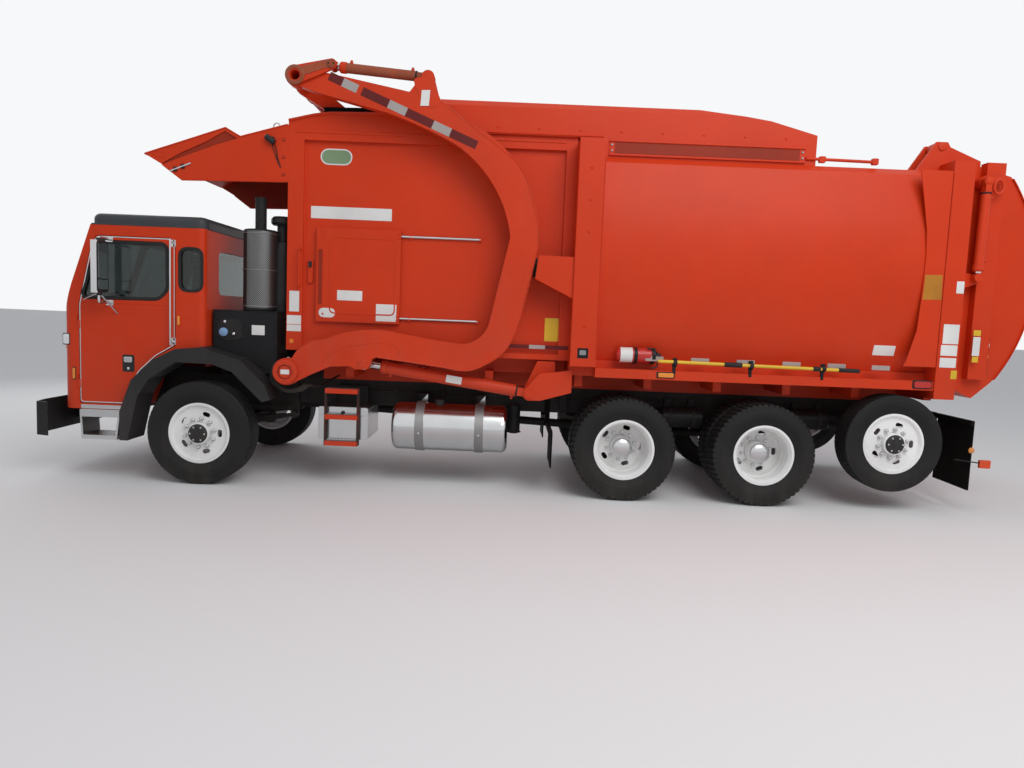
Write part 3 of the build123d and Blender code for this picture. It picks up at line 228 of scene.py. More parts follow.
dust_group.links.new(both, g_out.inputs["Mask"])

# %% [markdown]
# Paint leaves the edges first. A Bevel node rounds the normal near an edge, so where that
# rounded normal differs from the true one there is an edge; noise makes the wear patchy.

# %% Edge wear group
wear_group, g_in, g_out = new_group(
    "Edge wear", [("Width", "Float", 0.006), ("Amount", "Float", 0.5)], [("Mask", "Float")])
place = put(wear_group, "TexCoord").outputs["Object"]
rounded = put(wear_group, "Bevel", {"samples": 4}, Radius=g_in.outputs["Width"])
true_normal = put(wear_group, "NewGeometry").outputs["True Normal"]
same = put(wear_group, "VectorMath", {"operation": "DOT_PRODUCT"}, i0=rounded.outputs[0], i1=true_normal)
edge = ramp(wear_group, maths(wear_group, "SUBTRACT", 1.0, same.outputs["Value"]), 0.03, 0.22)
chips = ramp(wear_group, noise(wear_group, place, 34.0, 6.0, 0.7), 0.48, 0.62)
worn = maths(wear_group, "MULTIPLY", edge, chips)
worn = maths(wear_group, "MULTIPLY", worn, g_in.outputs["Amount"], clamp=True)
wear_group.links.new(worn, g_out.inputs["Mask"])

# %% [markdown]
# The grain group gives a height for bump at two scales: a slow wave, as plate that was
# welded and pulled, and a fine grain, as paint or moulded rubber.

# %% Grain group
grain_group, g_in, g_out = new_group(
    "Grain", [("Wave", "Float", 2.0), ("Fine", "Float", 300.0), ("Fine share", "Float", 0.2)],
    [("Height", "Float"), ("Shade", "Float")])
place = put(grain_group, "TexCoord").outputs["Object"]
wave = noise(grain_group, place, g_in.outputs["Wave"], 2.0, 0.4)
fine = noise(grain_group, place, g_in.outputs["Fine"], 3.0, 0.5)
fine_part = maths(grain_group, "MULTIPLY", fine, g_in.outputs["Fine share"])
height = maths(grain_group, "ADD", wave, fine_part)
grain_group.links.new(height, g_out.inputs["Height"])
shade = noise(grain_group, place, 1.3, 5.0, 0.6)
grain_group.links.new(shade, g_out.inputs["Shade"])

# %% [markdown]
# One recipe makes every painted, rubber and metal finish: a base colour that varies a
# little, dust over it, bare or rusty edges, and bump. Each finish is this recipe with its
# own numbers, so the table below reads like a paint shop's card.

# %% Finish recipe
def colour_mix(tree, share, first, second):
    """Two colours mixed by a share."""
    made = put(tree, "Mix", {"data_type": "RGBA"})
    for slot, value in ((0, share), (6, first), (7, second)):
        if isinstance(value, bpy.types.NodeSocket):
            tree.links.new(value, made.inputs[slot])
        else:
            made.inputs[slot].default_value = value if slot == 0 else (*value, 1)
    return made.outputs[2]


def new_material(name):
    """A material with its node tree and its shader."""
    material = bpy.data.materials.new(name)
    material.use_nodes = True
    return material, material.node_tree, material.node_tree.nodes["Principled BSDF"]


def finish(name, colour, rough, metal=0.0, coat=0.0, dust=0.4, dust_top=1.6, wear=0.0, wear_width=0.006,
           bare=(0.09, 0.05, 0.035), bump=0.05, wave=2.0, fine=300.0, fine_share=0.2, vary=0.12,
           dust_colour=(0.2, 0.165, 0.13), shine=0.22):
    """A finish from the shared groups: varied colour, worn edges, then dust on top."""
    material, tree, shader = new_material(name)
    grain = put(tree, "Group", {"node_tree": grain_group}, Wave=wave, Fine=fine, Fine_share=fine_share)
    shade = ramp(tree, grain.outputs["Shade"], 0.3, 0.7)
    darker = tuple(c * (1 - vary) for c in colour)
    lighter = tuple(min(1.0, c * (1 + vary)) for c in colour)
    base = colour_mix(tree, shade, darker, lighter)
    roughness = maths(tree, "MULTIPLY_ADD", shade, 0.08)
    roughness.node.inputs[2].default_value = rough - 0.04
    if wear > 0:
        worn = put(tree, "Group", {"node_tree": wear_group}, Width=wear_width, Amount=wear)
        base = colour_mix(tree, worn.outputs["Mask"], base, bare)
        roughness = maths(tree, "MULTIPLY_ADD", worn.outputs["Mask"], 0.4)
        roughness.node.inputs[2].default_value = rough
    if dust > 0:
        dirt = put(tree, "Group", {"node_tree": dust_group}, Top=dust_top, Amount=dust)
        base = colour_mix(tree, dirt.outputs["Mask"], base, dust_colour)
        roughness = maths(tree, "ADD", roughness, maths(tree, "MULTIPLY", dirt.outputs["Mask"], 0.45),
                          clamp=True)
    tree.links.new(base, shader.inputs["Base Color"])
    tree.links.new(roughness, shader.inputs["Roughness"])
    for socket, value in (("Metallic", metal), ("Coat Weight", coat), ("Coat Roughness", 0.12),
                          ("Specular IOR Level", 0.5 if metal else shine)):
        shader.inputs[socket].default_value = value
    if bump > 0:
        lift = put(tree, "Bump", Strength=bump, Distance=0.01, Height=grain.outputs["Height"])
        tree.links.new(lift.outputs[0], shader.inputs["Normal"])
    return material


# %% The paint card
ORANGE = (0.64, 0.04, 0.005)
finishes = {}


def coat(slot, colour, rough, name=None, **numbers):
    """Files a finish under its slot, named after the slot unless it has a name of its own."""
    finishes[slot] = finish(name or slot.replace("_", " "), colour, rough, **numbers)


coat("orange_paint", ORANGE, 0.44, coat=0.02, dust=0.13, dust_top=2.2, wear=0.45, bump=0.1, wave=1.5,
     vary=0.05)
coat("arm_paint", ORANGE, 0.44, coat=0.05, dust=0.18, dust_top=2.6, wear=1.0, wear_width=0.012, bump=0.08,
     wave=3.0, vary=0.1)
coat("black_paint", (0.013, 0.013, 0.015), 0.4, dust=0.06, wear=0.4, bare=(0.2, 0.19, 0.18), bump=0.06,
     shine=0.14)
coat("grey_paint", (0.045, 0.05, 0.056), 0.45, "cab cap paint", coat=0.05, dust=0.08, wear=0.2,
     bare=(0.25, 0.25, 0.25), bump=0.05)
coat("white_paint", (0.86, 0.86, 0.85), 0.4, "rim paint", coat=0.05, dust=0.12, dust_top=1.1, wear=0.4,
     bare=(0.2, 0.1, 0.06), bump=0.03)
coat("chassis_steel", (0.013, 0.013, 0.014), 0.62, "chassis paint", dust=0.2, dust_top=1.3, wear=0.6,
     bare=(0.12, 0.055, 0.03), bump=0.15, wave=8.0)
coat("bright_steel", (0.6, 0.6, 0.61), 0.2, metal=1.0, dust=0.12, bump=0.02, vary=0.06)
coat("polished_alloy", (0.62, 0.63, 0.64), 0.16, metal=1.0, dust=0.12, bump=0.02, wave=5.0, vary=0.06)
coat("tyre_rubber", (0.008, 0.008, 0.0085), 0.62, dust=0.1, dust_top=0.8, bump=0.12, shine=0.25, wave=12.0,
     fine=500.0, fine_share=0.4, vary=0.25, dust_colour=(0.2, 0.17, 0.14))
coat("flap_rubber", (0.005, 0.005, 0.005), 0.75, dust=0.04, shine=0.06, bump=0.08, vary=0.2)
coat("black_plastic", (0.02, 0.02, 0.022), 0.45, dust=0.16, bump=0.1, fine=700.0, fine_share=0.8)
coat("seat_fabric", (0.05, 0.05, 0.058), 0.9, dust=0.0, bump=0.2, fine=900.0, fine_share=1.0)


def glass(name, tint, rough=0.04):
    """Window glass: a clear tinted sheet with a little dust in its roughness."""
    material, tree, shader = new_material(name)
    dirt = put(tree, "Group", {"node_tree": dust_group}, Top=3.2, Amount=0.12)
    tree.links.new(colour_mix(tree, dirt.outputs["Mask"], tint, (0.5, 0.48, 0.42)),
                   shader.inputs["Base Color"])
    tree.links.new(maths(tree, "MULTIPLY_ADD", dirt.outputs["Mask"], 0.05), shader.inputs["Roughness"])
    shader.inputs["Roughness"].links[0].from_node.inputs[2].default_value = rough
    shader.inputs["Transmission Weight"].default_value = 0.92
    shader.inputs["IOR"].default_value = 1.45
    return material


for slot, tint, rough in (("amber_lens", (0.85, 0.28, 0.02), 0.15),
                          ("red_lens", (0.55, 0.015, 0.01), 0.15), ("clear_lens", (0.8, 0.82, 0.84), 0.1)):
    coat(slot, tint, rough, coat=1.0, dust=0.35, bump=0.06, wave=40.0, fine=120.0, vary=0.1)
coat("black_rubber", (0.014, 0.014, 0.015), 0.62, dust=0.35, bump=0.05, vary=0.2)
coat("blank_label", (0.8, 0.8, 0.78), 0.4, dust=0.3, bump=0.0)
coat("yellow_paint", (0.78, 0.5, 0.03), 0.4, coat=0.2, dust=0.4, wear=0.6)
coat("red_paint", (0.55, 0.02, 0.015), 0.35, coat=0.4, dust=0.35, wear=0.4)
coat("hose_rubber", (0.012, 0.012, 0.013), 0.55, dust=0.4, bump=0.1, fine=900.0)
coat("orange_lens", (0.85, 0.25, 0.03), 0.4, "orange sticker", dust=0.3, bump=0.0)
coat("mirror_glass", (0.85, 0.87, 0.88), 0.05, metal=1.0, dust=0.15, bump=0.0)
coat("worn_steel", (0.36, 0.07, 0.025), 0.62, "worn fork steel", dust=0.5, dust_top=6.0, wear=0.9,
     wear_width=0.015, bare=(0.28, 0.25, 0.23), bump=0.25, wave=14.0, vary=0.45)
finishes["window_glass"] = glass("window glass", (0.13, 0.165, 0.16))
coat("reflector", (0.4, 0.33, 0.31), 0.35, "reflector strip", dust=0.1, bump=0.02)
coat("tail_mark", (0.75, 0.08, 0.02), 0.4, "tail marker", dust=0.2, bump=0.02)
coat("strap_steel", (0.28, 0.28, 0.28), 0.45, metal=0.7, dust=0.2, bump=0.02)
coat("tape_red", (0.13, 0.012, 0.012), 0.35, dust=0.1, bump=0.02)
coat("tape_white", (0.42, 0.38, 0.36), 0.35, dust=0.1, bump=0.02)
# Orange as it looks in shade: painted shade, used on thin sheets in recesses and in the canopy's hidden
# inside.
coat("painted_shade_orange", (0.3, 0.024, 0.006), 0.5, dust=0.15, bump=0.03)
coat("worn_yellow", (0.5, 0.2, 0.02), 0.5, "worn yellow film", dust=0.3, bump=0.03, vary=0.3)
coat("badge_green", (0.2, 0.3, 0.17), 0.35, dust=0.1, bump=0.02)
coat("cap_blue", (0.2, 0.36, 0.6), 0.3, coat=0.5, dust=0.1, bump=0.02)


def perforated(name, middle, radius, pitch):
    """Steel with staggered holes where cos(2 pi u) cos(2 pi v) is high: u runs round, v up the shield."""
    material = finish(name, (0.2, 0.2, 0.2), 0.4, metal=1.0, dust=0.1, bump=0.0)
    tree = material.node_tree
    shader = tree.nodes["Principled BSDF"]
    spot = put(tree, "SeparateXYZ", Vector=put(tree, "TexCoord").outputs["Object"])
    x = maths(tree, "SUBTRACT", spot.outputs["X"], float(middle[0]))
    y = maths(tree, "SUBTRACT", spot.outputs["Y"], float(middle[1]))
    turn_by = float(round(2 * math.pi * radius / pitch))
    round_it = maths(tree, "COSINE", maths(tree, "MULTIPLY", maths(tree, "ARCTAN2", y, x), turn_by))
    up_it = maths(tree, "COSINE", maths(tree, "MULTIPLY", spot.outputs["Z"], 2 * math.pi / pitch))
    holes = ramp(tree, maths(tree, "MULTIPLY", round_it, up_it), 0.02, 0.3)
    steel = shader.inputs["Base Color"].links[0].from_socket
    tree.links.new(colour_mix(tree, holes, steel, (0.012, 0.012, 0.013)), shader.inputs["Base Color"])
    tree.links.new(maths(tree, "SUBTRACT", 1.0, holes), shader.inputs["Metallic"])
    return material


finishes["perforated"] = perforated("perforated shield", at(*MUFFLER, 0), SHIELD / 1000, 0.02)
for material in finishes.values():
    material.use_backface_culling = False

floor_finish, _, floor_shader = new_material("floor")
floor_shader.inputs["Base Color"].default_value = (0.86, 0.86, 0.86, 1)
floor_shader.inputs["Roughness"].default_value = 0.9
floor_mesh.materials.append(floor_finish)
print(len(finishes), "finishes")

# %% [markdown]
# The construction pieces take their finishes from the record's own slots, so one loop
# paints the whole truck. The arms and forks work hardest, so they get the worn paint.

# %% Paint the frame
slot_of = {row["node"]: row["material_slot"] for row in frame["record"]["subparts"]}
paint_over = {"loader_arms": "arm_paint", "forks": "arm_paint", "lift_barrels": "arm_paint",
              "fork_barrels": "worn_steel", "tailgate_barrels": "arm_paint", "exhaust": "chassis_steel"}
for name, obj in nodes.items():
    obj.data.materials.clear()
    obj.data.materials.append(finishes[paint_over.get(name, slot_of[name])])


def repaint(name, paint, chosen):
    """A second finish on the faces of one piece whose middle (station, across, height) is chosen."""
    mesh = nodes[name].data
    middle = np.zeros(len(mesh.polygons) * 3)
    mesh.polygons.foreach_get("center", middle)
    station, across, height = (middle.reshape(-1, 3) * 1000 + [AXLE_SHIFT, 0, 0]).T
    mesh.materials.append(finishes[paint])
    mesh.polygons.foreach_set("material_index", chosen(station, across, height).astype(np.int32))
    mesh.update()


def rods_only(station, across, height):
    """True away from the ladder's three treads."""
    off_tread = np.min([np.abs(height - tread) for tread in (960, 700, 436)], axis=0) > 24.5
    return off_tread | (np.abs(station - 1351) > 162)


repaint("ladder", "chassis_steel", rods_only)
repaint("tool_box", "chassis_steel", lambda station, across, height: height > 794)
repaint("fuel_tank", "chassis_steel", lambda station, across, height: height > 862)
repaint("tailgate_rods", "arm_paint", lambda station, across, height: height < 2372)

# %% [markdown]
# New pieces are surfaces on a grid of two parameters. The first helper joins such a grid's
# points into faces; a closed direction wraps round, and an end can be capped. Many small
# surfaces that belong together are gathered and made into one piece.

# %% Grid surfaces
class Work:
    """Surfaces gathered into one piece: points, faces and each face's finish."""

    def __init__(self):
        self.points, self.faces, self.finish, self.names = [], [], [], []
        self.count = 0

    def add(self, points, faces, paint):
        """Keeps a block of points and its faces, numbered after what is there already."""
        if paint not in self.names:
            self.names.append(paint)
        self.points.append(np.asarray(points, float).reshape(-1, 3))
        self.faces += [tuple(int(i) + self.count for i in face) for face in faces]
        self.finish += [self.names.index(paint)] * len(faces)
        self.count += len(self.points[-1])

    def make(self, name, body, slot=None, angle=35, bevel=0.0):
        """Writes the mesh, smooth below an angle, and lets it ride on a body."""
        mesh = bpy.data.meshes.new(name)
        mesh.from_pydata(np.concatenate(self.points).tolist(), [], self.faces)
        for paint in self.names:
            mesh.materials.append(finishes[paint])
        mesh.polygons.foreach_set("material_index", self.finish)
        mesh.validate()
        mesh.shade_smooth()
        mesh.set_sharp_from_angle(angle=math.radians(angle))
        obj = placed_object(name, mesh)
        if bevel:
            soft = obj.modifiers.new("soft edges", "BEVEL")
            soft.width, soft.segments, soft.limit_method = bevel, 2, "ANGLE"
        obj.modifiers.new("flat faces", "WEIGHTED_NORMAL").keep_sharp = True
        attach(obj, body)
        print(name, len(self.faces), "faces")
        return obj


def grid_faces(rows, columns, wrap_rows=False, wrap_columns=False, caps=False):
    """Quads of a rows x columns grid, wrapping where asked, with the end rows capped."""
    row = np.arange(rows if wrap_rows else rows - 1)
    column = np.arange(columns if wrap_columns else columns - 1)
    r, c = np.meshgrid(row, column, indexing="ij")
    r2, c2 = (r + 1) % rows, (c + 1) % columns
    quads = np.stack([r * columns + c, r * columns + c2, r2 * columns + c2, r2 * columns + c], -1)
    faces = quads.reshape(-1, 4).tolist()
    if caps:
        faces.append(list(range(columns))[::-1])
        faces.append(list(range((rows - 1) * columns, rows * columns)))
    return faces


# %% [markdown]
# Four shapes cover most small work. A turned shape is a profile of (along, radius) spun
# round an axis. A bar is a circle or rectangle carried along a path. A slab is a rounded
# rectangle with eased edges. A cut plate is any outline given a thickness.

# %% Turned shapes
def frame_of(axis):
    """Three square unit vectors, the last along the axis."""
    w = np.asarray(axis, float) / np.linalg.norm(axis)
    helper = np.array([0, 0, 1.0]) if abs(w[2]) < 0.9 else np.array([1.0, 0, 0])
    u = np.cross(helper, w)
    u /= np.linalg.norm(u)
    return u, np.cross(w, u), w


def circle(steps):
    """The cosines and sines of equal steps round a circle."""
    a = np.linspace(0, 2 * np.pi, steps, endpoint=False)
    return np.stack([np.cos(a), np.sin(a)], -1)


def turned(work, centre, axis, profile, paint, steps=32, hollow=False):
    """centre + axis * along + radius * (u cos a + v sin a); a hollow one closes its profile as a ring."""
    u, v, w = frame_of(axis)
    along, radius = (np.array(profile, float) / 1000).T
    points = centre + along[:, None, None] * w + radius[:, None, None] * (circle(steps) @ [u, v])
    work.add(points, grid_faces(len(along), steps, wrap_rows=hollow, wrap_columns=True, caps=not hollow),
             paint)


# %% Bars along a path
def smooth_path(points, steps=8):
    """A Catmull-Rom curve: each span blends its two ends and their neighbours' slopes."""
    p = np.asarray(points, float)
    p = np.vstack([2 * p[0] - p[1], p, 2 * p[-1] - p[-2]])
    t = np.linspace(0, 1, steps, endpoint=False)[None, :, None]
    a, b, c, d = (p[i:len(p) - 3 + i][:, None, :] for i in range(4))
    bend, twist = 2 * a - 5 * b + 4 * c - d, 3 * b - a - 3 * c + d
    curve = 0.5 * (2 * b + (c - a) * t + bend * t**2 + twist * t**3)
    return np.vstack([curve.reshape(-1, 3), p[-2]])


def bar(work, path, radius, paint, sides=12, section=None):
    """A section carried along a path: each ring stands square to the path's direction."""
    p = np.asarray(path, float)
    slope = np.gradient(p, axis=0)
    slope /= np.linalg.norm(slope, axis=1)[:, None]
    upright = np.ptp(p[:, 2]) >= np.ptp(p[:, :2].ravel())
    u = np.cross(slope, [0.94, 0.31, 0.1] if upright else [0.13, 0.31, 0.94])
    u /= np.linalg.norm(u, axis=1)[:, None]
    v = np.cross(slope, u)
    if section is None:
        section = circle(sides) * radius / 1000
    points = p[:, None, :] + u[:, None, :] * section[None, :, :1] + v[:, None, :] * section[None, :, 1:]
    work.add(points, grid_faces(len(p), len(section), wrap_columns=True, caps=True), paint)


# %% Slabs and cut plates
def rounded_outline(width, tall, radius, steps=5):
    """The points of a rectangle with round corners, anticlockwise about its middle."""
    a = np.linspace(0, np.pi / 2, steps)
    parts = []
    for sx, sy, quarter in ((1, 1, 0), (-1, 1, 1), (-1, -1, 2), (1, -1, 3)):
        x = sx * (width / 2 - radius) + radius * np.cos(a + quarter * np.pi / 2)
        y = sy * (tall / 2 - radius) + radius * np.sin(a + quarter * np.pi / 2)
        parts.append(np.stack([x, y], -1))
    return np.concatenate(parts)


def slab(work, centre, ex, ey, width, tall, thick, radius, paint, ease=2.0, steps=5):
    """A rounded rectangle standing out along ex x ey by its thickness, with eased front edges."""
    ex, ey = np.asarray(ex, float), np.asarray(ey, float)
    ez = np.cross(ex, ey)
    ease = min(ease, thick * 0.45, radius * 0.9)
    rings = [(0, 0), (0, thick - ease), (0.3 * ease, thick - 0.3 * ease), (ease, thick)]
    points = [(centre + (o[:, :1] * ex + o[:, 1:] * ey + h * ez) / 1000) for o, h in
              ((rounded_outline(width - 2 * i, tall - 2 * i, radius - i, steps), h) for i, h in rings)]
    work.add(np.stack(points), grid_faces(len(rings), len(points[0]), wrap_columns=True, caps=True), paint)


def cut_plate(work, outline, origin, ex, ey, thick, paint):
    """An outline in mm laid on the plane of ex and ey at an origin, given a thickness."""
    ex, ey = np.asarray(ex, float), np.asarray(ey, float)
    ez = np.cross(ex, ey)
    o = np.asarray(outline, float)
    flat = origin + (o[:, :1] * ex + o[:, 1:] * ey) / 1000
    points = np.stack([flat, flat + ez * thick / 1000])
    work.add(points, grid_faces(2, len(o), wrap_columns=True, caps=True), paint)


UP = np.array([0, 0, 1.0])
REARWARD, FORWARD = (1, 0, 0), (-1, 0, 0)
FRONT_X, REAR_X = np.array([0, -1.0, 0]), np.array([0, 1.0, 0])


def side_axes(side):
    """The plane of the truck's side, drawn so that its third axis points outwards."""
    return np.array([-side, 0, 0.0]), UP


def on_side(work, side, station, height, across, width, tall, thick, radius, paint, ease=2.0):
    """A slab on the truck's side: across is the distance out to its back."""
    ex, ey = side_axes(side)
    slab(work, at(station, side * across, height), ex, ey, width, tall, thick, radius, paint, ease)


def side_curve(side, pairs, across, steps=6):
    """A smooth path through (station, height) pairs at a distance or distances across."""
    station, height = np.array(pairs, float).T
    return smooth_path(at(station, side * np.asarray(across), height), steps)


def side_plate(work, side, corners, across, thick, paint):
    """An outline of (station, height) corners given a thickness on the truck's side."""
    o = np.array(corners, float) - [AXLE_SHIFT, 0]
    ex, ey = side_axes(side)
    outline = o if side == LEFT else o[::-1] * [-1, 1]
    cut_plate(work, outline, np.array([0, side * across / 1000, 0]), ex, ey, thick, paint)


def peg(work, side, station, across, height, profile, paint, steps=32, hollow=False):
    """A turned shape that stands out from the truck's side."""
    turned(work, at(station, side * across, height), (0, side, 0), profile, paint, steps, hollow)


def head(radius, tall):
    """The profile of a plain bolt head with a small chamfer."""
    return [(0, radius), (tall, radius), (tall + 2, radius - 3)]


# %% [markdown]
# A tyre is a profile that runs from one bead over the tread to the other, spun round the
# axle. The ribs are in the profile itself; the cross grooves lower the tread wherever the
# angle falls in a groove. Sidewalls carry raised rings and buttress lugs at the shoulder.

# %% Tyres
def tyre_profile(radius, rim, half):
    """(across, radius, band) from bead to bead: band 1 is rib, 2 shoulder, 0 the rest."""
    wall = [(105, rim + 2, 0), (113, rim + 10, 0), (118, rim + 26, 0), (121, rim + 30, 0),
            (130, rim + 62, 0), (136, rim + 84, 0), (138.5, rim + 88, 0), (140, rim + 112, 0),
            (139, rim + 138, 0), (137, rim + 141, 0), (134, rim + 166, 0), (130, rim + 186, 2),
            (126, radius - 12, 2), (119, radius - 4, 2), (112, radius - 2.5, 2), (88, radius - 1.5, 2)]
    ribs = [(88, radius - 14, 0), (79, radius - 14, 0), (79, radius - 1, 1), (39, radius - 0.4, 1),
            (39, radius - 14, 0), (30, radius - 14, 0), (30, radius - 0.2, 1)]
    one = np.array(wall + ribs, float)
    one[:, 0] *= half / 140
    return np.vstack([one, one[::-1] * [-1, 1, 1]])


def tyre_points(radius, lugs, groove, depth):
    """Tread height falls by the depth where the angle lies in one of the cross grooves."""
    profile = tyre_profile(radius, 285.0, 140.0)
    pitch = 2 * np.pi / lugs
    fractions = np.array([0.0, groove, groove + 0.04, 0.96])
    angle = (np.arange(lugs)[:, None] * pitch + fractions[None, :] * pitch).ravel()
    low = np.tile(np.array([1.0, 1.0, 0.0, 0.0]), lugs)
    band = profile[:, 2]
    share = np.where(band == 2, 1.0, np.where(band == 1, 0.75, 0.0))
    r = profile[None, :, 1] - low[:, None] * share[None, :] * depth
    skew = np.where(band > 0, profile[:, 0] / 140 * pitch * 0.35, 0)[None, :]
    a = angle[:, None] + skew
    return np.stack([np.broadcast_to(profile[None, :, 0], r.shape), r * np.cos(a), r * np.sin(a)], -1)


def fit_tyre(name, side, station, height, radius, centres, lugs, groove, depth, body):
    """Places the spun profile on an axle end, once for each tyre of the set."""
    work = Work()
    shape = tyre_points(radius, lugs, groove, depth)
    for centre in centres:
        local = shape / 1000
        points = np.stack([local[..., 1], local[..., 0] + side * centre / 1000, local[..., 2]], -1)
        points = points + at(station, 0, height)
        work.add(points, grid_faces(*shape.shape[:2], wrap_rows=True, wrap_columns=True), "tyre_rubber")
    return work.make(name, body, "tyre_rubber", angle=30)


ends = {"front": (0, 508, 508, (1096,)), "drive_front": (4155, 508, 508, (1096, 766)),
        "drive_rear": (5527, 508, 508, (1096, 766)), "tag": (6786, 674, 480, (1096,))}
for end, (station, height, radius, centres) in ends.items():
    for side_name, side in SIDES.items():
        lugs, groove, depth = (60, 0.1, 4) if len(centres) == 1 else (56, 0.2, 12)
        tyre = fit_tyre(f"tread_{end}_{side_name}", side, station, height, radius - 0.5, centres, lugs,
                        groove, depth, f"wheel_{end}_{side_name}")
        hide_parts(f"tyre_{end}_{side_name}")

# %% [markdown]
# Each wheel is held by ten nuts on a ring. A nut is a six-sided turned shape with a washer
# under it and the stud's end showing. Each nut stands at its own angle round the ring.

# %% Wheel nuts and hub caps
NUT_CIRCLE, NUT_COUNT, NUT_PHASE = 142.9, 10, 0.2
STEER_CAP = [(-60, 100), (-8, 94), (2, 86), (6, 76), (9, 56), (10, 0.5)]
DRIVE_CAP = [(-150, 104), (-40, 103), (-12, 100), (2, 90), (14, 66), (20, 40), (22, 0.5)]


def nut_ring(work, centre, side, ring_radius, count, across_flats, tall, paint):
    """Washer, hexagon and stud, repeated at equal angles round a wheel's axle."""
    for k in range(count):
        a = 2 * np.pi * k / count + NUT_PHASE
        place = centre + np.array([math.cos(a), 0, math.sin(a)]) * ring_radius / 1000
        axis = (0, side, 0)
        turned(work, place, axis, [(0, 21), (4, 21), (5, 19)], paint, 16)
        turned(work, place, axis, [(4, across_flats / 1.73), (tall - 3, across_flats / 1.73),
                                   (tall, across_flats / 2.1)], paint, 6)
        turned(work, place, axis, [(tall - 2, 10), (tall + 12, 10), (tall + 14, 8)], paint, 10)


for end, (station, height, radius, centres) in ends.items():
    for side_name, side in SIDES.items():
        work = Work()
        if len(centres) == 1:
            nut_ring(work, at(station, side * 1183, height), side, NUT_CIRCLE, NUT_COUNT, 33, 30,
                     "bright_steel")
            peg(work, side, station, 1250, height, STEER_CAP, "black_plastic", 40)
            peg(work, side, station, 1259, height, [(0, 22), (4, 21), (6, 12), (6.5, 0.5)],
                "black_plastic", 20)
            for dx, dz in circle(6) * 70:
                peg(work, side, station + dx, 1256, height + dz, [(0, 9), (5, 9), (6, 7)], "bright_steel",
                    6)
        else:
            nut_ring(work, at(station, side * 932, height), side, NUT_CIRCLE, NUT_COUNT, 33, 30,
                     "bright_steel")
            peg(work, side, station, 1092, height, DRIVE_CAP, "bright_steel", 40)
        work.make(f"nuts_{end}_{side_name}", f"wheel_{end}_{side_name}", "white_paint")

# %% [markdown]
# The cab's side carries the truck's finest work: a bright trim round the door's edge, the
# black rubber that holds each pane, a recessed handle, a stainless rocker below, and lamps.
# A trim is a small section carried round the outline; both sides of the truck get the same.

# %% Door and window outlines
door_line = [(-1215, 753), (-1215, 1720), (-1090, 2290), (-1040, 2380), (-330, 2380), (-284, 2330),
             (-284, 1350), (-471, 1237), (-640, 1075), (-770, 800), (-777, 753)]
window_line = [(-1187, 1792), (-1026, 2300), (-990, 2320), (-400, 2320), (-365, 2285), (-361, 1890),
               (-445, 1800)]


def round_corners(points, radius, steps=5):
    """A closed outline whose corners are replaced by short arcs of quadratic curves."""
    p = np.asarray(points, float)
    before, after = np.roll(p, 1, 0) - p, np.roll(p, -1, 0) - p
    lb, la = np.linalg.norm(before, axis=1), np.linalg.norm(after, axis=1)
    cut = np.minimum(radius, 0.45 * np.minimum(lb, la))
    start, end = p + before / lb[:, None] * cut[:, None], p + after / la[:, None] * cut[:, None]
    t = np.linspace(0, 1, steps)[None, :, None]
    arc = (1 - t) ** 2 * start[:, None] + 2 * t * (1 - t) * p[:, None] + t ** 2 * end[:, None]
    return arc.reshape(-1, 2)


def inset(points, amount):
    """The outline moved inwards (or outwards if negative) along its corners' bisectors."""
    p = np.asarray(points, float)
    area = np.sum(p[:, 0] * np.roll(p[:, 1], -1) - np.roll(p[:, 0], -1) * p[:, 1])
    d = np.roll(p, -1, 0) - np.roll(p, 1, 0)
    normal = np.stack([-d[:, 1], d[:, 0]], -1) / np.maximum(np.linalg.norm(d, axis=1)[:, None], 1e-6)
    return p + normal * amount * np.sign(area)


def side_trim(work, side, outline, across, width, stand, paint):
    """A flat band round an outline on the truck's side: outer edge, crown and inner edge."""
    rings = [(0, 0), (0, stand * 0.7), (width * 0.2, stand), (width * 0.8, stand), (width, stand * 0.7),
             (width, 0)]
    layers = []
    for step, lift in rings:
        o = inset(outline, step)
        layers.append(at(o[:, 0], side * (across + lift), o[:, 1]))
    points = np.stack(layers)
    faces = grid_faces(len(rings), points.shape[1], wrap_columns=True)
    work.add(points if side == LEFT else points[:, ::-1], faces, paint)


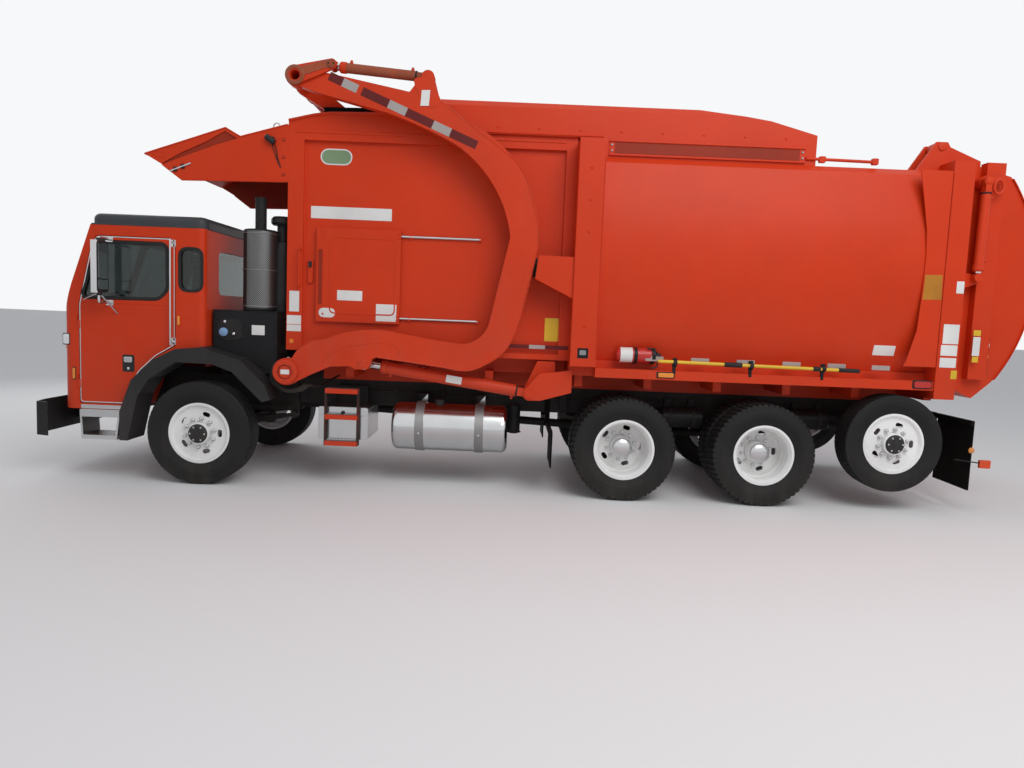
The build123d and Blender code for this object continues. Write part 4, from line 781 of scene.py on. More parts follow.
# %% Door trim, window rubber and handle
door_edge = round_corners(door_line, 40)
pane_edge = round_corners(window_line, 45)
quarter_edge = round_corners([(-233, 1890), (-233, 2290), (-23, 2290), (-23, 1890)], 75, 6)
for side_name, side in SIDES.items():
    work = Work()
    side_trim(work, side, inset(door_edge, 1.0), 1100, 9, 3.0, "bright_steel")
    side_trim(work, side, inset(pane_edge, -16), 1099, 26, 6.0, "black_rubber")
    side_trim(work, side, inset(pane_edge, -26), 1099.5, 9, 2.5, "black_paint")
    on_side(work, side, -740, 1155, 1098, 117, 168, 5, 18, "black_plastic")
    on_side(work, side, -740, 1192, 1102, 84, 56, 12, 14, "bright_steel", 5)
    peg(work, side, -740, 1102, 1104, [(0, 13), (4, 13), (5, 9), (5.5, 0.5)], "bright_steel", 20)
    on_side(work, side, -752, 1740, 1099, 780, 14, 5, 4, "orange_paint")
    side_trim(work, side, round_corners([(-1190, 1640), (-1190, 1690), (-310, 1690), (-310, 1640)], 12),
              1099.5, 4, 2.0, "orange_paint")
    work.make(f"door_trim_{side_name}", f"door_{side_name}", "black_plastic")
    work = Work()
    side_trim(work, side, inset(quarter_edge, -18), 1099, 28, 7.0, "black_rubber")
    on_side(work, side, -1000, 712, 1099, 420, 38, 5, 4, "bright_steel")
    on_side(work, side, -1350, 1371, 1082, 74, 116, 14, 14, "black_plastic", 5)
    on_side(work, side, -1350, 1371, 1092, 56, 98, 12, 10, "clear_lens", 5)
    on_side(work, side, -1272, 1037, 1098, 34, 124, 6, 8, "black_rubber")
    on_side(work, side, -1272, 1037, 1103, 24, 108, 14, 8, "amber_lens", 5)
    on_side(work, side, -245, 1593, 1098, 34, 112, 8, 14, "orange_paint")
    on_side(work, side, -245, 1593, 1105, 24, 92, 12, 11, "amber_lens", 5)
    grab = side_curve(side, [(-308, z) for z in (2345, 2340, 2300, 1430, 1385, 1380)],
                      [1098, 1136, 1146, 1146, 1136, 1098])
    bar(work, grab, 9, "bright_steel", 14)
    for end_height in (2336, 1388):
        on_side(work, side, -296, end_height, 1097, 44, 70, 7, 8, "bright_steel")
        for bolt in (-20, 20):
            peg(work, side, -296, 1103, end_height + bolt, [(0, 6), (3, 6), (4, 4)], "black_paint", 6)
    work.make(f"cab_side_trim_{side_name}", "truck", "black_plastic")

# %% [markdown]
# Each mirror is a tall pane in a moulded shell. The construction piece is its housing, so
# the lesson adds the silvered face behind, its rim, and the clamps that hold the arms.

# %% Mirrors
for side_name, side in SIDES.items():
    work = Work()
    face = at(-915 + 35, side * 1290, 2075)
    slab(work, face, REAR_X, UP, 186, 474, 5, 26, "black_plastic", 2)
    slab(work, face + np.array([0.0045, 0, 0.055]), REAR_X, UP, 160, 330, 2, 14, "mirror_glass", 0.8)
    slab(work, face + np.array([0.0045, 0, -0.165]), REAR_X, UP, 160, 90, 2, 14, "mirror_glass", 0.8)
    for clamp in (2330, 1822):
        turned(work, at(-915, side * 1290, clamp), UP, [(-16, 22), (-12, 25), (12, 25), (16, 22)],
               "black_plastic", 20)
    for foot in (2350, 1740):
        slab(work, at(-915, side * 1100.5, foot), *side_axes(side), 74, 52, 8, 10, "bright_steel", 2)
    strut = side_curve(side, [(-915, 1830), (-880, 1740), (-842, 1640)], [1290, 1200, 1103])
    bar(work, strut, 8, "bright_steel", 10)
    cable = [(-930, 1824), (-1010, 1800), (-1120, 1765), (-1190, 1735)]
    bar(work, side_curve(side, cable, [1290, 1250, 1180, 1103]), 4, "bright_steel", 8)
    work.make(f"mirror_face_{side_name}", f"door_{side_name}", "black_plastic")

# %% [markdown]
# The cab's front is out of the photograph's sight, so it follows the type: a wide grille
# between round-cornered headlamp panels, two wipers, and a bumper with lamps, bolts and a plate.

# %% Cab front
work = Work()
slab(work, at(-1389, 0, 1180), FRONT_X, UP, 1260, 560, 10, 40, "black_plastic", 4)
for k in range(9):
    bar(work, at([-1403, -1403], [-600, 600], [955 + 55 * k] * 2), 9, "bright_steel", 10)
for y in (-400, 0, 400):
    bar(work, at([-1400, -1400], [y, y], [920, 1440]), 7, "black_plastic", 8)
for side in (LEFT, RIGHT):
    slab(work, at(-1389, side * 830, 1080), FRONT_X, UP, 300, 300, 10, 30, "bright_steel", 3)
    for drop in (0, 1):
        lamp_place = at(-1399, side * (900 - 140 * drop), 1080)
        turned(work, lamp_place, FORWARD, [(0, 68), (10, 66), (12, 60)], "bright_steel", 28)
        turned(work, lamp_place, FORWARD, [(9, 56), (16, 48), (20, 30), (22, 0.5)], "clear_lens", 28)
    slab(work, at(-1389, side * 960, 1300), FRONT_X, UP, 110, 60, 12, 10, "amber_lens", 3)
slab(work, at(-1389, 0, 1530), FRONT_X, UP, 1700, 90, 6, 20, "orange_paint", 3)
slope = np.array([292, 0, 870.0]) / math.hypot(292, 870)
screen_out = np.array([-slope[2], 0, slope[0]])
screen_foot = at(-1390, 0, 1620)
for y in (-510, 510):
    layers = []
    for step, lift in ((-16, 0), (-16, 5), (-8, 8), (8, 8), (14, 3), (14, 0)):
        o = rounded_outline(960 - 2 * step, 740 - 2 * step, 60 - step, 6)
        layers.append(screen_foot + np.array([0, y / 1000, 0]) + o[:, :1] * np.array([0, -1, 0]) / 1000
                      + (o[:, 1:] + 433) * slope / 1000 + lift * screen_out / 1000)
    work.add(np.stack(layers), grid_faces(len(layers), len(layers[0]), wrap_columns=True), "black_rubber")
    foot = screen_foot + np.array([0, y / 1000 + 0.25, 0]) + screen_out * 0.02 - slope * 0.02
    tip = screen_foot + np.array([0, y / 1000 - 0.18, 0]) + screen_out * 0.018 + slope * 0.42
    bar(work, np.linspace(foot, tip, 6), 7, "black_plastic", 8)
    wiper = np.linspace(tip - slope * 0.26 + [0, -0.1, 0], tip + slope * 0.22 + [0, 0.08, 0], 4)
    bar(work, wiper, 6, "black_rubber", 6)
    turned(work, foot, screen_out, [(-24, 20), (8, 20), (14, 14)], "black_plastic", 16)
work.make("cab_front", "truck", "black_plastic")

work = Work()
for side in (LEFT, RIGHT):
    slab(work, at(-1640, side * 720, 600), FRONT_X, UP, 220, 120, 4, 20, "black_plastic", 1.5)
    turned(work, at(-1642, side * 660, 600), FORWARD, [(0, 48), (6, 46), (8, 30), (9, 0.5)],
           "clear_lens", 24)
    turned(work, at(-1642, side * 780, 600), FORWARD, [(0, 34), (6, 32), (8, 20), (9, 0.5)],
           "amber_lens", 20)
    for z in (480, 700):
        for y in (340, 520, 920):
            turned(work, at(-1640, side * y, z), FORWARD, head(13, 7), "black_paint", 6)
slab(work, at(-1640, 0, 590), FRONT_X, UP, 340, 130, 4, 10, "white_paint", 1.5)
work.make("bumper_lamps", "truck", "black_paint")

# %% [markdown]
# Five small lamps stand on the cab's cap, and the cap has a raised lip along its edge where
# rain is led away.

# %% Roof lamps
work = Work()
for y in (-700, -350, 0, 350, 700):
    place = at(-1010, y, 2590)
    turned(work, place, UP, [(-16, 44), (6, 42), (10, 36)], "black_plastic", 24)
    turned(work, place, UP, [(9, 34), (24, 30), (34, 18), (37, 0.5)], "amber_lens", 24)
gutter = [(-1088, 1095), (-60, 1095), (0, 1040), (0, -1040), (-60, -1095), (-1088, -1095)]
bar(work, at([g[0] for g in gutter], [g[1] for g in gutter], 2494), 9, "grey_paint", 8)
work.make("roof_lamps", "truck", "grey_paint")

# %% [markdown]
# Behind the cab stand the black cover boxes, the muffler in its perforated shield and the
# air cleaner. The shield is two thirds of a cylinder of perforated steel between three bands.

# %% Muffler shield, stack and air cleaner
work = Work()
angles = np.radians(np.linspace(150, 390, 25))
layers = [at(MUFFLER[0] - r * np.sin(angles), MUFFLER[1] + r * np.cos(angles), z)
          for r, z in ((170, 1745), (SHIELD, 1750), (SHIELD, 2500), (170, 2505))]
work.add(np.stack(layers), grid_faces(4, len(angles)), "perforated")
band = np.radians(np.linspace(0, 360, 37))
for z in (1765, 2125, 2485):
    bar(work, at(MUFFLER[0] + SHIELD * np.cos(band), MUFFLER[1] + SHIELD * np.sin(band), z), 4,
        "strap_steel", 8)
turned(work, at(*MUFFLER, 2500), UP, [(0, 140), (12, 134), (24, 70), (40, 62)], "black_paint", 32)
turned(work, at(*MUFFLER, 2842), UP, [(-30, 58), (0, 60), (4, 59), (4, 51), (-60, 50)],
       "chassis_steel", 28)
work.make("muffler_shield", "truck", "bright_steel")

work = Work()
turned(work, at(*AIR_CLEANER, 1716), UP, [(0, 118), (60, 122), (64, 128), (78, 128), (82, 122),
                                                 (560, 122), (640, 116), (700, 92), (710, 60), (880, 58)],
       "black_plastic", 40)
turned(work, at(*AIR_CLEANER, 2590), UP, [(0, 100), (20, 118), (60, 118), (84, 96), (90, 1)],
       "black_plastic", 32)
for side in (LEFT, RIGHT):
    for z, tall in ((1560, 240), (1240, 200)):
        if side == RIGHT or z > 1300:
            on_side(work, side, 347, z, 948, 560, tall, 5, 18, "black_paint", 2)
    for x in (80, 610):
        for z in (1480, 1640):
            peg(work, side, x, 950, z, head(9, 5), "chassis_steel", 6)
# A thin dark sheet stands in for the hole in the cover box: painted shade of the hole, with the blue cap
# and bolts in front of it.
on_side(work, LEFT, 198, 1522, 953, 243, 219, 1.5, 60, "black_rubber", 0.5)
side_trim(work, LEFT, round_corners([(80, 1415), (80, 1630), (316, 1630), (316, 1415)], 60), 953, 6, 4,
          "black_paint")
peg(work, LEFT, 144, 954, 1496, [(0, 30), (16, 30), (18, 44), (36, 42), (42, 30), (44, 0.5)], "cap_blue",
    28)
peg(work, LEFT, 150, 954, 1600, [(0, 14), (8, 14), (10, 9)], "bright_steel", 8)
peg(work, LEFT, 240, 954, 1480, [(0, 16), (20, 15), (24, 10)], "bright_steel", 16)
on_side(work, LEFT, 480, 1526, 953, 129, 97, 1.5, 4, "blank_label", 0.5)
side_trim(work, LEFT, [(36, 1330), (36, 1708), (656, 1708), (656, 1120)], 951, 6, 4, "black_paint")
for k in range(9):
    peg(work, LEFT, 60 + 68 * k, 953, 1680, head(8, 4), "chassis_steel", 6)
work.make("air_cleaner", "truck", "black_plastic")

# %% [markdown]
# The gooseneck arms carry a red and white tape along their upper reach, a hub cover with a
# ring of bolts, and the hydraulic hoses that feed the fork cylinders. The tape is cut into
# patches that alternate between two colours.

# %% Arm fittings
ARM_FACE = 1187.0
TAPE = [(0, 0.09, "tape_red"), (0.09, 0.19, "tape_white"), (0.22, 0.4, "tape_red"),
        (0.4, 0.52, "tape_white"), (0.52, 0.7, "tape_red"), (0.7, 0.82, "tape_white"),
        (0.82, 1, "tape_red")]

for side_name, side in SIDES.items():
    work = Work()
    tape_start, tape_end = np.array([1206.0, 3940.0]), np.array([2609.0, 3362.0])
    along = (tape_end - tape_start) / np.linalg.norm(tape_end - tape_start)
    across_tape = np.array([-along[1], along[0]])
    length = np.linalg.norm(tape_end - tape_start)
    for share0, share1, kind in TAPE:
        corners = [tape_start + along * length * share + across_tape * half for share, half in
                   ((share0, -40), (share1, -40), (share1, 40), (share0, 40))]
        side_plate(work, side, corners, 1190.2, 1.2, kind)
    hub = at(HUB[0], side * 1229, HUB[1])
    turned(work, hub, (0, side, 0), [(-2, 117), (8, 115), (12, 108), (12, 70), (-2, 68)], "arm_paint", 40,
           hollow=True)
    turned(work, hub, (0, side, 0), [(-2, 68), (0, 66), (1, 50), (1.2, 0.5)], "arm_paint", 40)
    turned(work, hub, (0, side, 0), [(0, 69), (8, 69), (8, 64), (0, 64)], "black_paint", 40, hollow=True)
    on_side(work, side, *HUB, 1231, 84, 46, 2.5, 6, "blank_label", 0.8)
    for dx, dz in circle(8) * 84:
        peg(work, side, HUB[0] + dx, 1240, HUB[1] + dz, [(0, 8), (6, 8), (8, 6)], "arm_paint", 6)
    for pin, r in ((FORK_BARREL_PIN, 34), (LIFT_PIN, 40)):
        cap = [(0, r * 0.9), (3, r * 0.86), (4, r * 0.5), (4.5, 0.5)]
        peg(work, side, pin[0], 1189, pin[1], cap, "arm_paint", 32)
    clevis = [(1990, 3950), (2020, 3850), (2105, 3700), (2230, 3690), (2262, 3760), (2190, 3880),
              (2120, 3975)]
    side_plate(work, side, round_corners(clevis, 60), 1188, 6, "arm_paint")
    side_plate(work, side, [(2066, 3700), (2146, 3704), (2156, 3848), (2076, 3844)], 1194, 1.2,
               "blank_label")
    overlay = [(1184, 1250), (1288, 1343), (1467, 1416), (1664, 1451), (1846, 1448), (1923, 1392),
               (1915, 1319)]
    bar(work, side_curve(side, overlay, ARM_FACE, 8), 6, "arm_paint", 6)
    peg(work, side, LIFT_PIN[0], ARM_FACE, LIFT_PIN[1], [(0, 50), (6, 49), (9, 44), (9, 32), (0, 30)],
        "arm_paint", 32, hollow=True)
    edge = [(1712, 1319), (2347, 1247), (2520, 1222), (2685, 1248), (2930, 1410), (3068, 1694),
            (3225, 2427), (3228, 2588), (3130, 2960), (2990, 3220), (2478, 3591), (2248, 3758)]
    bar(work, side_curve(side, edge, ARM_FACE), 7, "arm_paint", 6)
    work.make(f"arm_fittings_{side_name}", "arms", "orange_paint")

# %% Hydraulic hoses on the arms
for side_name, side in SIDES.items():
    work = Work()
    for lane, off in enumerate((0, 24)):
        run = [(905, 1155), (960, 1240 + off), (1150, 1330 + off), (1500, 1440 + off), (1900, 1440 + off),
               (2350, 1370 + off), (2640, 1400 + off), (2800, 1560), (2960 - off, 2100),
               (3085 - off, 2540), (2990 - off, 2860), (2700 - off, 3220), (2400, 3440 - off),
               (2250, 3560 - off), (2180, 3740), (2150, 3860), (2080 + off, 3940)]
        bar(work, side_curve(side, run, 1083 - 2 * lane, 8), 9, "hose_rubber", 10)
        for station, height in run[3:-2:2]:
            slab(work, at(station, side * (1087 - 2 * lane), height), *side_axes(-side), 34, 34, 10, 6,
                 "black_paint", 2)
    work.make(f"arm_hoses_{side_name}", "arms", "black_plastic")

# %% Hoses at the hub
for side_name, side in SIDES.items():
    work = Work()
    for k, spread in enumerate((0, 22, 44)):
        loop = [(980 + spread, 1010), (905 + spread, 965 - spread * 0.3), (800, 955 - spread * 0.5),
                (700 - spread, 1010), (668 - spread * 0.6, 1110), (700 - spread * 0.5, 1215)]
        tail = [(980 + spread, 1010), (1080, 985), (1180, 1060)]
        for pairs, across in ((loop, 1060 - 8 * k), (tail, [1060 - 8 * k, 900, 460])):
            bar(work, side_curve(side, pairs, across, 8), 11, "hose_rubber", 10)
    work.make(f"hub_hoses_{side_name}", "truck", "black_plastic")

# %% [markdown]
# The fork brackets are the most battered part of the truck. Their plates have stiffening
# pads and bolted pin caps in the same worn steel, and collars stand on their cross shaft.

# %% Fork fittings
work = Work()
for side in (LEFT, RIGHT):
    pad = [(960, 3925), (1190, 4005), (1225, 4000), (1235, 4065), (1195, 4075), (960, 4005)]
    side_plate(work, side, pad, 1221.2, 7, "worn_steel")
    peg(work, side, FORK_HUB[0], 1219, FORK_HUB[1], [(0, 92), (8, 91), (12, 86), (12, 60), (0, 58)],
        "worn_steel", 36, hollow=True)
    peg(work, side, FORK_ROD_PIN[0], 1226, FORK_ROD_PIN[1], [(0, 38), (12, 36), (14, 30), (15, 0.5)],
        "worn_steel", 28)
    for dx in (-24, 24):
        peg(work, side, FORK_ROD_PIN[0] + dx, 1239, FORK_ROD_PIN[1], [(0, 7), (6, 7), (7, 5)],
            "black_paint", 6)
    for y in (560, 858):
        peg(work, side, FORK_HUB[0], y, FORK_HUB[1], [(-46, 74), (-42, 78), (42, 78), (46, 74)],
            "arm_paint", 32)
work.make("fork_fittings", "forks", "orange_paint")

# %% [markdown]
# A cylinder's barrel has a gland at its mouth, two ports and a weld ring at its foot; its
# rod has a collar where it meets its eye. All of it follows the line between the pins.

# %% Cylinder fittings
def cylinder_fittings(barrel_name, rod_name, base, tip, across, radius, rod_radius, stub, mark,
                      port_side=1):
    """Collars along the line from the base pin to the tip pin, for both sides of the truck."""
    base, tip = np.array(base, float), np.array(tip, float)
    length = np.linalg.norm(tip - base)
    line = (tip - base) / length
    axis = np.array([line[0], 0, line[1]])
    up = np.array([-line[1], 0, line[0]]) * port_side
    gland = [(0, radius + 0.5), (4, radius + 7), (52, radius + 7), (60, radius + 1), (66, radius - 4),
             (70, rod_radius + 3), (72, rod_radius + 1)]
    collar = [(-14, rod_radius), (-10, rod_radius + 8), (6, rod_radius + 8), (12, rod_radius)]
    barrels, rods = Work(), Work()
    for side in (LEFT, RIGHT):
        foot = at(base[0], side * across, base[1])
        mouth = length - radius - stub
        turned(barrels, foot + axis * (mouth - 62) / 1000, axis, gland, "arm_paint", 28)
        turned(barrels, foot + axis * (radius + 62) / 1000, axis,
               [(0, radius - 1), (4, radius + 4), (14, radius + 4), (18, radius - 1)], "black_paint", 28)
        for reach in (radius + 110, mouth - 100):
            port = foot + axis * reach / 1000 + up * (radius - 2) / 1000
            turned(barrels, port, up, [(0, 17), (14, 17), (16, 12), (30, 12)], "arm_paint", 16)
        eye = at(tip[0], side * across, tip[1])
        turned(rods, eye - axis * (radius * 0.95 + 8) / 1000, axis, collar, "bright_steel", 24)
        if mark == "lift":
            label_x = np.cross(up, [0, side, 0.0])
            slab(barrels, at(2458, side * (across + radius), 1120), label_x, up, 156, 74, 3, 6,
                 "blank_label", 1)
    barrels.make(f"{mark}_barrel_fittings", barrel_name, "black_paint")
    rods.make(f"{mark}_rod_fittings", rod_name, "bright_steel")


cylinder_fittings("lift_barrels", "lift_rods", (3209, 1010), LIFT_PIN, 1023, 60, 35, 110, "lift")
cylinder_fittings("fork_barrels", "fork_rods", FORK_BARREL_PIN, FORK_ROD_PIN, 1140, 46, 26, 20, "fork", -1)
cylinder_fittings("tailgate_barrels", "tailgate_rods", (7469, 3226), (7456, 2315), 1192, 44, 24, 20,
                  "tailgate")

# %% [markdown]
# The hopper's side is a recessed sheet inside a welded frame. Along it run the hatch's two
# bright rods; on it sit a latch, a handrail, blank label plates and long seam welds. A
# weld is a bead: a thin bar whose radius ripples along its length.

# %% Weld beads
def weld(work, start, end, radius=5.0, pitch=9.0):
    """A bar whose section swells and shrinks as radius * (1 + 0.25 cos), once every pitch."""
    start, end = np.asarray(start, float), np.asarray(end, float)
    count = min(160, max(6, int(np.linalg.norm(end - start) * 1000 / pitch * 2)))
    t = np.linspace(0, 1, count)
    path = start + t[:, None] * (end - start)
    r = radius * (1 + 0.25 * np.cos(np.arange(count) * math.pi)) / 1000
    points = path[:, None, :] + r[:, None, None] * (circle(6) @ frame_of(end - start)[:2])
    work.add(points, grid_faces(count, 6, wrap_columns=True, caps=True), "orange_paint")


# %% Hopper side
HATCH_FACE = 955.0
TAPE_START, TAPE_LENGTH = 2988, 593
work = Work()
side_trim(work, LEFT, round_corners([(1062, 1800), (1062, 2360), (1118, 2360), (1118, 1800)], 26),
          HATCH_FACE, 8, 5, "orange_paint")
# The sunk pull is a thin flat sheet in painted shade: the dark orange of its recess is painted, not made
# by depth.
on_side(work, LEFT, 1090, 2080, HATCH_FACE + 0.2, 36, 540, 1.2, 16, "painted_shade_orange", 0.5)
side_trim(work, LEFT, round_corners([(1180, 1720), (1180, 2480), (1840, 2480), (1840, 1720)], 60),
          HATCH_FACE, 14, 4, "orange_paint")
on_side(work, LEFT, 1752, 1748, HATCH_FACE + 0.4, 203, 170, 1.5, 4, "blank_label", 0.5)
on_side(work, LEFT, 1162, 1728, HATCH_FACE + 0.4, 164, 94, 1.5, 46, "blank_label", 0.5)
on_side(work, LEFT, 1386, 1906, HATCH_FACE + 0.4, 250, 99, 1.5, 4, "blank_label", 0.5)
for x in (1120, 1860):
    for z in (1697, 2507):
        for drop in (20, -20):
            peg(work, LEFT, x, HATCH_FACE, z + drop, head(10, 6), "orange_paint", 6)
work.make("hatch_details", "hatch", "orange_paint")

work = Work()
for z in (1697, 2507):
    rod = at([1064, 2670], [-925, -925], [z, z])
    bar(work, rod, 12.4, "bright_steel", 16)
    for x in (1066, 1980, 2664):
        on_side(work, LEFT, x, z, 910, 26, 44, 26, 6, "orange_paint")
for side in (LEFT, RIGHT):
    weld(work, at(914, side * 911, 1402), at(914, side * 911, 3398))
    weld(work, at(916, side * 911, 3398), at(3478, side * 911, 3398))
    weld(work, at(916, side * 911, 1402), at(3478, side * 911, 1402))
    label = (1378, 2714, 910.5, 800, 118) if side == LEFT else (1990, 2685, 910, 500, 92)
    on_side(work, side, *label, 2, 6, "blank_label", 0.6)
    for z, w, h in ((1829, 98, 204), (1645, 141, 89), (1563, 141, 64)):
        on_side(work, side, 836, z, 955.2, w, h, 1.2, 4, "blank_label", 0.5)
    peg(work, side, 813, 955, 1432, [(0, 22), (1.5, 22), (2, 20)], "orange_lens", 20)
    rail = [(889, 2331), (889, 2322), (889, 1998), (889, 1989)]
    bar(work, side_curve(side, rail, [956, 1000, 1000, 956]), 9, "orange_paint", 12)
    on_side(work, side, 985, 2130, 912, 50, 230, 22, 10, "orange_paint", 4)
    on_side(work, side, 985, 2200, 934, 30, 60, 16, 8, "black_plastic", 4)
    on_side(work, side, 2160, 3480, 955, 2640, 26, 7, 6, "orange_paint", 3)
    for share0, share1, kind in ((0, 0.34, "tape_red"), (0.34, 0.61, "tape_white"), (0.61, 1, "tape_red")):
        middle = TAPE_START + TAPE_LENGTH * (share0 + share1) / 2
        on_side(work, side, middle, 1471, 955.2, TAPE_LENGTH * (share1 - share0), 38, 1.2, 2, kind, 0.4)
    on_side(work, side, 3445, 1647, 910.2, 212, 232, 1.5, 6, "yellow_paint", 0.6)
    on_side(work, side, 3258, 2251, 955, 124, 186, 26, 12, "hose_rubber", 4)
    on_side(work, side, 1990, 3645, 910, 492, 96, 44, 6, "orange_paint", 2)
    top = [(762, 3578), (1093, 3652), (1430, 3668), (1751, 3679)]
    bar(work, side_curve(side, top, 962, 4), 13, "orange_paint", 10)
    side_plate(work, side, [(1100, 3648), (2180, 3690), (2180, 3742), (1100, 3716)], 936, 14,
               "flap_rubber")
on_side(work, LEFT, 1220, 3255, 910.5, 312, 156, 2, 76, "bright_steel")
on_side(work, LEFT, 1220, 3255, 912.4, 286, 132, 1.4, 64, "badge_green", 0.5)
work.make("hopper_fittings", "truck", "orange_paint")

# %% [markdown]
# The canopy throws loose refuse back into the hopper. Its sheet is stiffened by folded
# ribs, and a small camera looks down into the hopper from its corner.

# %% Canopy fittings
work = Work()
for y in (-600, -200, 200, 600):
    rib = at([-600, 120], [y, y], [3221, 3474])
    bar(work, rib, 14, "orange_paint", 8)
bar(work, at([-640, -640], [-950, 950], [3206, 3206]), 10, "orange_paint", 10)
for side in (LEFT, RIGHT):
    lip = at([-640, 147, 292, 750], [side * 955] * 4, [3205, 3482, 3403, 3536])
    bar(work, lip, 8, "orange_paint", 8)
    low = at([-470, -278, 750], [side * 955] * 3, [3107, 2967, 2990])
    bar(work, low, 8, "orange_paint", 8)
    # A plate closes the wedge between the flap and the side; its dark orange is painted shade of the
    # canopy's inside.
    painted_shade_liner = [(-600, 3196), (147, 3460), (292, 3382), (742, 3508), (742, 3000), (-270, 2978), (-462, 3108)]
    side_plate(work, side, painted_shade_liner, 936, 6, "painted_shade_orange")
    side_trim(work, side, [(-561, 3190), (-530, 3236), (-450, 3212), (-458, 3165)], 955, 4, 2.5,
              "orange_paint")
    for z in (3392, 3225, 3058):
        peg(work, side, 714, 955, z, [(0, 20), (2, 20), (3, 12), (9, 12), (11, 8)], "orange_paint", 20)
        peg(work, side, 714, 955, z, [(2.4, 17), (3.2, 17), (3.3, 13)], "black_paint", 20)
    body_axis = np.array([0.81, 0, -0.58])
    turned(work, at(548, side * 988, 3412), body_axis, [(0, 20), (8, 28), (96, 30), (104, 24), (106, 0.5)],
           "black_plastic", 24)
    turned(work, at(548, side * 988, 3412), -body_axis, [(-4, 17), (2, 16), (2.5, 0.5)], "mirror_glass",
           20)
    slab(work, at(604, side * 955, 3382), *side_axes(side), 40, 60, 14, 8, "black_plastic", 2)
    for spread in (0, 26):
        wire = [(600 + spread, 3350), (622 + spread, 3280), (660, 3180 + spread), (690, 3120)]
        bar(work, side_curve(side, wire, 962), 4, "black_rubber", 8)
    rod = at([-393, -188], [side * 962] * 2, [3045, 3130])
    bar(work, rod, 9, "bright_steel", 10)
    for share in (0.25, 0.6):
        spot = rod[0] + share * (rod[1] - rod[0])
        slab(work, spot * [1, 0, 1] + [0, side * 0.955, 0], *side_axes(side), 36, 44, 14, 6,
             "chassis_steel", 2)
    eye = np.radians(np.linspace(0, 180, 13))
    bar(work, at(640 + 34 * np.cos(eye), side * 940, 3508 + 42 * np.sin(eye)), 7, "bright_steel", 10)
work.make("canopy_fittings", "truck", "orange_paint")

# %% [markdown]
# The body is a plain rolled barrel. Work on it is along its edges: a skirt rail with
# reflectors, blank plates, a yellow clearing pole held by clips, an extinguisher in its
# holder, amber and red side lamps, and the beam that stiffens the roof's edge.

# %% Body sides
for side_name, side in SIDES.items():
    work = Work()
    side_plate(work, side, [(2640, 1190), (3570, 1190), (3570, 1336), (2640, 1336)], 700, 6,
               "orange_paint")
    on_side(work, side, 5546, 1334, 1012, 3150, 24, 20, 5, "orange_paint", 3)
    for x in (4404, 4848, 5292, 5738, 6177, 6608):
        on_side(work, side, x, 1412, 1186, 176, 46, 10, 4, "reflector", 1)
    for x, z, seat, lens, kind in ((4521, 1258, (178, 62, 6, 10), (150, 44, 16, 12), "amber_lens"),
                                   (7020, 1266, (190, 84, 6, 16), (166, 62, 14, 20), "red_lens")):
        on_side(work, side, x, z, 1200, *seat, "black_rubber", 2)
        on_side(work, side, x, z, 1206, *lens, kind, 5)
    leaning = np.array([0, side * 0.285, 0.958])
    slab(work, at(6680, side * 1081.2, 1579), side_axes(side)[0], leaning, 213, 104, 1.6, 6, "blank_label",
         0.6)
    for z in range(2100, 3300, 300):
        on_side(work, side, 7230, z, 1220, 26, 26, 2, 6, "orange_paint", 1)
    # beam along the roof's edge and the rod of the tailgate lock
    on_side(work, side, 4840, 3436, 985, 1909, 150, 14, 6, "orange_paint", 3)
    # the beam's recessed panel is a thin sheet in painted shade, darker where the recess lies in shade
    on_side(work, side, 4840, 3436, 999, 1800, 104, 2, 4, "painted_shade_orange", 0.6)
    for edge_height in (3370, 3502):
        on_side(work, side, 4840, edge_height, 999, 1909, 16, 14, 5, "orange_paint", 2)
    for x in (3912, 5766):
        for z in (3408, 3464):
            peg(work, side, x, 999, z, head(12, 7), "strap_steel", 6)
    bar(work, at([5800, 6500], [side * 1000] * 2, [3408, 3400]), 15, "arm_paint", 14)
    for x in (5960, 6475):
        on_side(work, side, x, 3404, 978, 60, 60, 40, 8, "orange_paint", 3)
    flange = [(6818, 3302), (6872, 3025), (6922, 2746), (6938, 2511), (6930, 2130), (6913, 1793),
              (6837, 1496), (6810, 1440), (7125, 1440), (7125, 3302)]
    side_plate(work, side, flange, 1208, 10, "orange_paint")
    side_plate(work, side, [(6946, 2321), (7110, 2326), (7120, 2092), (6938, 2084)], 1218, 1.2,
               "worn_yellow")
    for x, z0, z1 in ((3587, 1400, 3460), (3833, 1400, 3300), (7132, 1400, 3290)):
        weld(work, at(x, side * 1222, z0), at(x, side * 1222, z1), 4)
    # post face plates with bolts
    for z in (1700, 2600, 2900, 3200):
        peg(work, side, 3710, 1220, z, head(12, 8), "orange_paint", 6)
    on_side(work, side, 3704, 1439, 1220, 105, 98, 1.2, 6, "black_paint", 0.5)
    on_side(work, side, 3704, 1444, 1221, 62, 46, 1.0, 4, "strap_steel", 0.4)
    work.make(f"body_fittings_{side_name}", "truck", "orange_paint")

